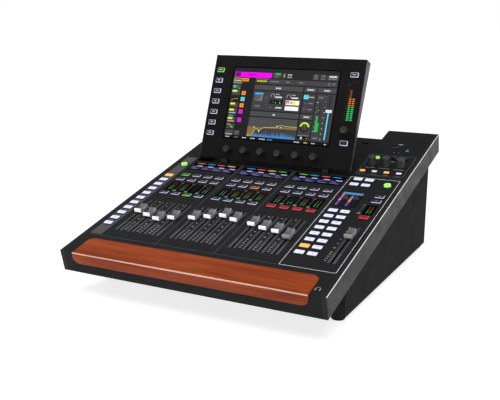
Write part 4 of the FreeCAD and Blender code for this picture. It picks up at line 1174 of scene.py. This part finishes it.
def channel_list(screen):
    """Column of processing tiles, and a second one of coloured sends."""
    screen.box(2.3, 20.2, 108.3, 119.3, "#b9ae3a")
    screen.box(3.4, 19.1, 109.4, 118.2, "#55565a", 2)
    screen.label(11.2, 113.8, 12.0, UI_TEXT, 2.0)
    screen.box(21.3, 34.7, 112.7, 119.3, "#e88a24")
    screen.label(28.0, 116.0, 9.0, "#8a4c10", 1.8)
    for foot, top in ((97.2, 106.0), (84.7, 95.0), (60.5, 69.7), (47.6, 58.2), (30.8, 41.4), (18.8, 28.0),
                      (6.5, 15.9)):
        screen.box(3.0, 19.7, foot, top, UI_TILE)
    for top in (94.8, 69.3, 57.2, 40.6):
        screen.box(3.0, 13.3, top - 3.9, top, UI_YELLOW, 2)
    for y in (49.4, 32.8, 7.2):
        screen.label(10.6, y, 14.0, "#c4c4c4", 1.7)
    screen.box(3.5, 8.4, 99.4, 104.2, "#4bb4e6", 2)
    screen.box(9.6, 14.0, 99.8, 103.8, "#6d6e72", 2)
    screen.box(15.8, 18.4, 96.9, 98.9, UI_GREEN, 3)
    screen.box(14.2, 17.6, 92.7, 94.3, "#1f9a48", 2)
    screen.path([(3.6, 73.4), (6.4, 75.6), (9.0, 77.2), (17.7, 78.0)], 0.9, "#c98a2c")
    screen.box(3.4, 13.3, 43.2, 45.0, "#3f9fd0", 2)
    screen.box(13.6, 17.8, 43.4, 44.8, "#5d5e62", 2)
    screen.path([(3.6, 27.2), (8.5, 26.6), (12.0, 24.2), (14.4, 20.6)], 0.9, "#b9d23a")
    screen.area([(13.4, 20.0), (17.8, 18.9), (15.0, 23.6)], UI_GREEN, 4)
    screen.box(9.8, 11.2, 8.9, 13.0, "#a8352a", 2)
    for foot, top, color in ((85.5, 93.5, UI_ORANGE), (73.3, 81.6, UI_CYAN), (60.8, 69.2, UI_ORANGE),
                             (48.2, 57.0, UI_MAGENTA), (31.8, 40.8, UI_MAGENTA)):
        screen.box(24.0, 32.3, foot + 0.2, top - 0.3, color)
        screen.box(27.4, 28.6, foot + 2.6, foot + 5.8, "#5a3a2a", 2)
    screen.box(21.8, 33.4, 6.2, 15.5, UI_TILE)
    screen.path([(24.6, 8.4), (27.4, 12.6), (30.6, 12.4)], 1.0, UI_DIM)


def tab_row(screen):
    screen.box(49.3, 216.8, 109.7, 119.3, "#414244")
    screen.box(49.3, 76.3, 109.7, 119.3, "#3b3a30", 2)
    screen.box(49.3, 76.3, 118.3, 119.3, "#9d9234", 3)
    screen.label(63.0, 114.7, 20.8, "#d9cf38", 2.4)
    for x in (76.6, 103.3, 131.1, 157.8):
        screen.box(x, x + 0.4, 109.7, 119.3, "#2c2d2f", 3)
    for x, width in ((90.4, 17.0), (117.6, 7.3), (144.4, 7.3), (210.6, 6.0)):
        screen.label(x, 114.8, width, UI_DIM, 1.7)
    screen.path(arc(201.0, 114.6, 2.2, 60, 330, 9), 0.8, UI_DIM)


def input_section(screen):
    """Source tile, two dials with values, gate and trim boxes."""
    section(screen, 49.3, 151.0, 107.2, 58.0, 11.3)
    screen.box(52.8, 70.7, 88.5, 91.8, "#4fa3e8", 3)
    screen.box(53.0, 70.2, 75.5, 88.0, "#57585c", 2)
    screen.area([(61.0, 77.0), (70.0, 76.4), (70.0, 86.8), (66.5, 87.6), (64.8, 80.5)], "#6f7074", 3)
    screen.box(60.4, 62.0, 75.9, 77.2, "#4fa3e8", 4)
    screen.box(55.2, 67.7, 62.7, 68.3, "#4e4f53", 2)
    screen.label(61.5, 65.5, 8.0, UI_DIM, 1.4)
    screen.path(arc(78.3, 83.0, 2.2, 0, 345, 12), 0.7, "#66676b")
    screen.label(78.3, 76.2, 4.0, "#66676b", 1.2)
    for x in (91.0, 124.3):
        screen.box(x - 4.2, x + 25.0, 82.6, 93.0, "#353538", 2)
        screen.path(arc(x, 87.2, 3.7, 225, -45, 14), 0.8, "#b0b1b3")
        screen.label(x + 9.8, 90.2, 7.0, "#c4c4c4", 1.6)
        screen.label(x + 12.8, 84.9, 13.8, "#e8e8e8", 2.6)
    screen.box(86.3, 114.3, 71.3, 79.7, UI_DARK, 2)
    screen.path([(92.6, 74.6), (94.4, 75.8), (95.8, 74.2)], 0.7, "#a86a2c")
    screen.box(98.8, 99.5, 72.3, 75.2, "#c4c4c4", 3)
    screen.area([(106.6, 72.6), (109.4, 72.6), (107.0, 79.0)], UI_GREEN, 3)
    screen.box(119.7, 147.3, 71.3, 80.0, UI_WHITE, 2)
    screen.box(120.3, 126.8, 72.0, 79.4, "#e0404a", 3)
    screen.area([(121.6, 72.0), (126.8, 72.0), (124.2, 76.4)], UI_WHITE, 4)
    screen.box(128.0, 134.2, 73.6, 77.8, "#8fbf74", 3)
    screen.box(134.2, 140.8, 72.0, 79.4, "#ece83c", 3)
    screen.box(119.7, 147.3, 60.8, 68.5, UI_WHITE, 2)
    screen.box(131.8, 132.5, 62.2, 67.2, "#9a9a9a", 3)
    screen.path([(87.8, 64.4), (91.8, 65.2)], 0.8, UI_DIM)
    screen.path([(99.4, 62.8), (101.6, 65.4)], 0.9, "#dedede")
    screen.label(107.6, 64.6, 10.4, "#e0e0e0", 2.6)


def equaliser(screen):
    """Graph with a grid, spectrum, shaded band and response curve."""
    x0, x1, y0, y1 = 49.3, 151.0, 6.3, 43.3
    section(screen, x0, x1, 55.5, y0, 6.0)
    for k in range(1, 25):
        x = x0 + (x1 - x0) * k / 25
        screen.box(x - 0.3, x + 0.3, 26.0, y1, "#626266", 2)
    for k in range(5):
        screen.box(x0, x1, 27.1 + 3.7 * k, 27.7 + 3.7 * k, "#626266", 3)
    dice = random.Random(11)
    screen.box(x0 + 11, x1, y0, y0 + 2.2, "#3c72a4", 2)
    x = x0 + 11
    while x < x1 - 2.6:
        wide = dice.uniform(1.3, 2.3)
        high = dice.uniform(4.0, 8.0) + (4.4 if dice.random() < 0.45 else 0)
        screen.area([(x, y0 + 0.2), (x + wide, y0 + 0.2), (x + wide * 0.5, y0 + high)], "#4c92d2", 3)
        x += wide + dice.uniform(0.1, 1.1)
    for k in range(4):
        left = x0 + 1 + 2 * k
        screen.area([(left, y0), (left + 1.6, y0), (left + 0.8, y0 + 5.5 - k)], "#b7a7a4", 5)
    screen.area([(x0, 25.0), (80.0, 24.7), (x1, 29.7), (x1, 24.5), (82.0, 23.8), (74.0, 17.2), (69.3, 21.2),
                 (66.0, 20.0), (62.0, 14.0), (59.0, y0), (x0, y0)], "#826b3a", 4)
    curve = [(59.3, 7.2), (61.8, 14.7), (66.0, 20.5), (69.3, 21.7), (72.0, 19.4), (74.0, 17.7), (77.0, 21.0),
             (81.8, 24.3), (86.8, 25.0), (104.3, 26.3), (111.0, 28.3), (118.5, 31.7), (124.3, 30.2),
             (134.3, 29.7), (150.8, 29.8)]
    screen.path(curve, 0.75, "#d8c63a", 5)
    for x, y, code in ((63.0, 24.7, UI_WHITE), (86.8, 25.2, "#3fc0ee"), (110.7, 28.8, UI_WHITE),
                       (119.0, 27.2, UI_WHITE), (74.0, 16.9, UI_WHITE)):
        screen.path([(x - 1.3, y + 0.7), (x + 1.3, y - 0.7)], 1.2, code, 6)


def filter_section(screen):
    section(screen, 154.0, 178.5, 107.2, 58.0, 14.0)
    screen.box(154.7, 164.2, 84.4, 92.2, UI_CYAN, 2)
    screen.path([(156.4, 87.0), (159.0, 90.2), (162.4, 90.4)], 0.7, "#2f8fb0")
    screen.label(170.6, 88.4, 10.4, "#b9b9b9", 2.0)
    screen.path([(157.0, 77.6), (159.4, 77.0), (162.0, 74.4)], 0.8, "#77787c")
    screen.path([(157.0, 64.0), (157.6, 66.0), (162.4, 66.0)], 0.8, "#77787c")
    for y in (76.6, 65.0):
        screen.label(170.6, y, 9.5, UI_DIM, 1.7)
    section(screen, 154.0, 178.5, 55.5, 6.3, 11.0)
    screen.path(arc(165.7, 31.0, 8.2, 0, 360, 28)[:-1], 2.8, UI_DARK, 2)
    screen.path(arc(165.7, 31.0, 8.2, 172, 8, 16), 2.9, "#cdf01e", 4)
    screen.box(165.3, 166.1, 31.5, 35.5, UI_DIM, 4)
    screen.label(165.6, 15.5, 22.0, UI_DIM, 1.2)
    screen.box(154.4, 176.8, 8.2, 13.8, UI_DARK, 2)
    screen.area([(160.2, 8.8), (164.4, 8.8), (163.0, 13.0), (161.2, 13.0)], "#dedede", 3)
    screen.box(173.0, 174.4, 9.8, 11.2, "#c4c4c4", 3)


def level_section(screen):
    section(screen, 180.7, 216.8, 107.2, 6.3, 11.8)
    for foot, top in ((85.5, 92.2), (9.2, 15.4)):
        screen.box(183.5, 195.2, foot, top, "#4a4b4f", 2)
        screen.label(189.4, (foot + top) / 2, 8.4, UI_DIM, 1.6)
    screen.box(185.8, 193.0, 23.5, 80.0, "#353639", 2)
    screen.box(186.0, 189.2, 23.8, 53.8, "#1cc04e", 3)
    screen.box(189.4, 192.6, 23.8, 41.0, "#1cb04a", 3)
    screen.box(187.2, 188.8, 64.0, 65.4, "#d9c93a", 3)
    for k in range(7):
        y = 24.7 + 9.1 * k
        wide = 2.0 if k in (0, 6) else 0.7
        screen.box(184.0 - wide, 184.0 + wide, y - 0.4, y + 0.4, "#c9c9c9" if wide > 1 else "#a9a9a9", 4)
    for k in range(9):
        y = 10.8 + 10.06 * k
        screen.box(199.0, 200.6, y - 0.6, y + 0.6, "#dcdcdc" if k < 6 else UI_DIM, 3)
    screen.box(202.7, 213.5, 8.4, 92.2, "#38393c", 2)
    screen.box(207.4, 208.8, 65.0, 91.6, UI_DARK, 3)
    screen.box(206.8, 209.2, 10.2, 61.5, UI_CYAN, 3)
    screen.box(202.4, 214.2, 61.4, 66.6, "#e4e4e4", 4)
    screen.box(204.0, 212.6, 63.6, 64.4, "#9a9a9a", 5)


def captions(screen):
    """Names of what each knob turns, along the lower edge."""
    screen.box(0, 218.5, 0, 5.4, "#141415")
    for x, width, code in ((8.9, 8.0, UI_TEXT), (28.2, 8.0, "#77787a"), (45.2, 8.0, UI_TEXT),
                           (64.0, 10.0, UI_TEXT), (83.8, 13.0, UI_TEXT), (99.4, 10.6, "#4f9fe8"),
                           (154.8, 10.8, UI_TEXT), (172.6, 6.6, "#c8e03a"), (187.8, 7.0, UI_TEXT),
                           (211.4, 4.2, UI_TEXT)):
        screen.label(x, 2.2, width, code, 1.7)


def make_display_image():
    screen = Screen(node_box("display_glass", HEAD))
    screen.box(0, screen.width, 0, screen.height, "#212123", 0)
    header(screen)
    channel_list(screen)
    tab_row(screen)
    input_section(screen)
    equaliser(screen)
    filter_section(screen)
    level_section(screen)
    captions(screen)
    screen.piece.build("display_head", "screen")


def make_head_meter():
    """Two columns of level segments beside a column of fine scale marks."""
    piece = Piece("display_meter", HEAD)
    off = emitter("bridge_off", "#3c3d40", 0.8)
    foot, pitch = 92.0, 3.87
    for x, lit_rows in ((135.3, 15), (141.8, 11)):
        for row in range(lit_rows):
            y = foot + pitch * row
            material, wide, high = BRIDGE_GREEN, 2.3, 1.0
            if row >= 11:
                material, wide, high = LED_ORANGE, 1.9, 0.7
            elif row >= 7:
                material = BRIDGE_ORANGE
            piece.flat(x - wide, x + wide, y - high, y + high, material)
    for row in range(17):
        y = foot + pitch * row
        piece.flat(128.2, 130.8, y - 0.4, y + 0.4, off)
    piece.flat(125.6, 132.0, 157.3, 158.3, off)
    for x in (136.0, 143.0):
        piece.dot(x, 162.2, 0.8, off)
    piece.build("display_head", "screen")


# ---- rear, underside and fasteners ----
FLANGE_WIDTH = 26.0           # of a three-pole socket
PIN_CIRCLE = 4.2


def make_feet():
    piece = Piece("rubber_feet", ROW)
    for box in solid_boxes("feet", ROW):
        r = box.width / 2
        piece.turned(box.x, box.y, [(r * 0.86, box.z0), (r * 0.94, box.z0 + 0.5), (r * 0.97, box.z0 + 1.5),
                                    (r, box.z1 - 1.2), (r, box.z1)], RUBBER, 40)
    piece.build("console", "foot_rubber", ["feet"])


def make_screws():
    """Domed socket heads, each standing on the face that its CAD head stands on."""
    piece = Piece("screw_heads", ROW)
    for box in solid_boxes("screws", ROW):
        sizes = (box.width, box.length, box.z1 - box.z0)
        axis = sizes.index(min(sizes))
        centre = Vector((box.x, box.y, box.z))
        out = Vector([0, 0, 0])
        out[axis] = 1 if (axis == 1 or (axis == 0 and box.x > 0)) else -1
        across = Vector((0, 0, 1)) if axis != 2 else Vector((1, 0, 0))
        other = out.cross(across)
        radius, high = max(sizes) / 2, min(sizes)

        def ring(r, h, count=24):
            at = centre + out * (h - high / 2)
            turns = [2 * math.pi * k / count for k in range(count)]
            return [at + (across * math.cos(t) + other * math.sin(t)) * r for t in turns]
        rings = [ring(radius, 0), ring(radius, high * 0.35), ring(radius * 0.86, high * 0.75),
                 ring(radius * 0.55, high)]
        socket = [ring(radius * 0.42, high), ring(radius * 0.4, high * 0.35)]
        piece.loft(rings + socket, BLACK_STEEL)
    piece.build("console", "black_steel", ["screws"])


def rear_ring(x, z, radius, y, count=24):
    turns = [2 * math.pi * k / count for k in range(count)]
    return [(x + radius * math.cos(t), y, z + radius * math.sin(t)) for t in turns]


def make_socket_trim():
    """Contacts, latches and flange screws of the round sockets, nuts of the jacks."""
    piece = Piece("socket_trim", ROW)
    face = node_box("rear_panel", ROW).y1
    round_sockets = [box for box in solid_boxes("signal_sockets", ROW)
                     if abs(box.width - FLANGE_WIDTH) < 0.5 and box.y > 200]
    low_row = min(box.z for box in round_sockets)
    for box in round_sockets:
        top = box.y1
        for side in (-1, 1):
            x, z = box.x + side * 9.6, box.z + side * 12.4
            piece.loft([rear_ring(x, z, 1.7, top - 0.1), rear_ring(x, z, 1.5, top + 0.35),
                        rear_ring(x, z, 0.9, top + 0.6)], BLACK_STEEL)
        is_output = abs(box.z - low_row) < 1
        for turn in (30, 150, 270):
            x = box.x + PIN_CIRCLE * math.cos(math.radians(turn))
            z = box.z + PIN_CIRCLE * math.sin(math.radians(turn))
            if is_output:
                piece.loft([rear_ring(x, z, 1.22, top - 3.4, 16), rear_ring(x, z, 1.22, top - 0.6, 16),
                            rear_ring(x, z, 0.7, top - 0.2, 16)], GOLD)
            else:
                piece.loft([rear_ring(x, z, 1.1, top - 1.4, 16), rear_ring(x, z, 1.1, top - 1.1, 16)], GOLD)
        if not is_output:
            latch = ((-3.4, 10.4), (3.4, 10.4), (2.6, 13.8), (-2.6, 13.8))
            piece.loft([[(box.x + dx, top + dy, box.z + dz) for dx, dz in latch] for dy in (-0.2, 0.5)],
                       CHROME)
    for box in solid_boxes("phone_jacks", ROW):
        if box.y < 0:
            continue
        for outer, inner, y0, y1, sides in ((7.6, 6.05, face + 0.02, face + 0.6, 32),
                                            (7.0, 6.05, face + 0.6, face + 2.2, 6)):
            rings = [rear_ring(box.x, box.z, outer, y0, 48), rear_ring(box.x, box.z, outer, y1, 48),
                     rear_ring(box.x, box.z, inner, y1, 48), rear_ring(box.x, box.z, inner, y0, 48)]
            if sides == 6:
                for ring in rings[:2]:
                    for k, (px, py, pz) in enumerate(ring):
                        part = (2 * math.pi * k / 48) % (math.pi / 3) - math.pi / 6
                        reach = math.cos(math.pi / 6) / math.cos(part)
                        ring[k] = (box.x + (px - box.x) * reach, py, box.z + (pz - box.z) * reach)
            piece.loft(rings, CHROME, True)
    piece.build("console")


def make_inlet_pins():
    piece = Piece("inlet_pins", ROW)
    box = min(solid_boxes("mains_inlet", ROW), key=lambda solid: solid.z)
    for x, z in ((0, 3.2), (-7, -1.6), (7, -1.6)):
        rings = []
        for y, shrink in ((box.y1 - 16.5, 0.0), (box.y1 - 5.0, 0.0), (box.y1 - 4.0, 0.5)):
            w, h = 1.1 - shrink, 2.1 - shrink
            rings.append([(box.x + x + dx, y, box.z + z + dz) for dx, dz in
                          ((-w, -h), (w, -h), (w, h), (-w, h))])
        piece.loft(rings, CHROME)
    piece.build("console")


def make_rocker():
    """Power rocker with a dished face and its on and off marks."""
    node = "power_rocker"
    joint = JOINTS["power_rocker_tilt"]
    pivot = Vector(joint["pos_m"]) / MM
    tilt = math.radians(joint["range_deg"][1] / 2)
    place = Matrix.Translation(pivot * MM) @ Matrix.Rotation(tilt, 4, "X") @ Matrix.Scale(MM, 4)
    piece = Piece("power_rocker_face", place)
    half = 9.6
    outline = [(-4.0, -4.0), (5.2, -11.5), (5.9, -11.0)]
    for k in range(1, 10):
        z = -11.0 + 22.0 * k / 10
        outline.append((4.4 + 1.5 * (z / 11.0) ** 2, z))
    outline += [(5.9, 11.0), (5.2, 11.5), (-4.0, 4.0)]
    rings = []
    for x, inset in ((-half, 0.4), (-half + 0.4, 0.0), (half - 0.4, 0.0), (half, 0.4)):
        rings.append([(x, y - inset, z * (1 - inset / 20)) for y, z in outline])
    piece.loft(rings, BLACK)
    bar = ((-0.5, 4.5), (0.5, 4.5), (0.5, 8.0), (-0.5, 8.0))
    piece.loft([[(x, y, z) for x, z in bar] for y in (4.6, 5.62)], INK_WHITE)
    outer = rear_ring(0, -6.2, 2.0, 5.0)
    inner = rear_ring(0, -6.2, 1.3, 5.0)
    def moved_to(ring, y):
        return [(x, y, z) for x, _, z in ring]
    piece.loft([moved_to(outer, 4.4), moved_to(outer, 5.25), moved_to(inner, 5.25), moved_to(inner, 4.4)],
               INK_WHITE, True)
    for side in (-1, 1):
        stub = [[(side * x, 1.5 * math.cos(2 * math.pi * k / 24), 1.5 * math.sin(2 * math.pi * k / 24))
                 for k in range(24)] for x in (9.0, 11.4)]
        piece.loft(stub, BLACK)
    piece.build(node, "dark_plastic", [node])


def make_rear():
    make_feet()
    make_screws()
    make_socket_trim()
    make_inlet_pins()
    make_rocker()


# ---- light, floor and camera ----
CAMERA_PLACE = (0.58583, -1.21108, 0.44161)
CAMERA_AIM = (-0.0363, 0.0004, 0.1172)
CAMERA_ROLL = 0.38
LENS = 55.44


def make_world():
    """Bright near the horizon and below, dim overhead, like a white sweep in a dark studio."""
    world = bpy.data.worlds.new("studio")
    bpy.context.scene.world = world
    world.use_nodes = True
    tree = world.node_tree
    background = tree.nodes["Background"]
    coords = tree.nodes.new("ShaderNodeTexCoord")
    parts = tree.nodes.new("ShaderNodeSeparateXYZ")
    ramp = tree.nodes.new("ShaderNodeValToRGB")
    tree.links.new(coords.outputs["Generated"], parts.inputs["Vector"])
    tree.links.new(parts.outputs["Z"], ramp.inputs["Fac"])
    tree.links.new(ramp.outputs["Color"], background.inputs["Color"])
    stops = ((0.0, 1.0), (0.1, 1.0), (0.26, 0.2), (1.0, 0.2))
    while len(ramp.color_ramp.elements) < len(stops):
        ramp.color_ramp.elements.new(0.5)
    for element, (place, level) in zip(ramp.color_ramp.elements, stops):
        element.position = place
        element.color = (level, level, level, 1.0)
    background.inputs["Strength"].default_value = 1.0


def make_lamp(name, place, aim, size, power):
    data = bpy.data.lights.new(name, "AREA")
    data.shape = "RECTANGLE"
    data.size, data.size_y = size
    data.energy = power
    lamp = bpy.data.objects.new(name, data)
    lamp.location = place
    lamp.rotation_euler = (Vector(aim) - Vector(place)).to_track_quat("-Z", "Y").to_euler()
    bpy.context.scene.collection.objects.link(lamp)


def make_floor():
    """Plain pale floor that stays near white away from the shadow."""
    size = 20.0
    mesh = bpy.data.meshes.new("floor")
    mesh.from_pydata([(-size, -size, 0), (size, -size, 0), (size, size, 0), (-size, size, 0)], [],
                     [(0, 1, 2, 3)])
    floor = bpy.data.objects.new("floor", mesh)
    bpy.context.scene.collection.objects.link(floor)
    paper = Finish("floor_paper", (0.42, 0.42, 0.42, 1), 0.3, Specular_IOR_Level=0.3)
    paper.shader.inputs["Emission Color"].default_value = (1, 1, 1, 1)
    paper.shader.inputs["Emission Strength"].default_value = 0.8
    paper.set("Roughness", paper.spread(paper.noise(30.0, 3.0), 0.24, 0.34))
    mesh.materials.append(paper.material)


def make_camera():
    data = bpy.data.cameras.new("camera")
    data.lens = LENS
    camera = bpy.data.objects.new("camera", data)
    bpy.context.scene.collection.objects.link(camera)
    camera.location = CAMERA_PLACE
    aim = (Vector(CAMERA_AIM) - Vector(CAMERA_PLACE)).to_track_quat("-Z", "Y")
    roll = Matrix.Rotation(math.radians(CAMERA_ROLL), 4, "Z")
    camera.rotation_euler = (aim.to_matrix().to_4x4() @ roll).to_euler()
    bpy.context.scene.camera = camera


def make_studio():
    make_world()
    make_floor()
    make_lamp("key", (0.7, -1.0, 2.2), (0, 0, 0.1), (1.8, 1.2), 38)
    make_lamp("edge", (-0.9, -0.3, 1.9), (0, -0.3, 0.08), (1.4, 0.5), 16)
    make_camera()
    bpy.context.scene.view_settings.view_transform = "Standard"


make_palm_rest()
make_keys()
make_controls()
make_prints()
make_windows()
make_display_image()
make_head_meter()
make_rear()
make_studio()
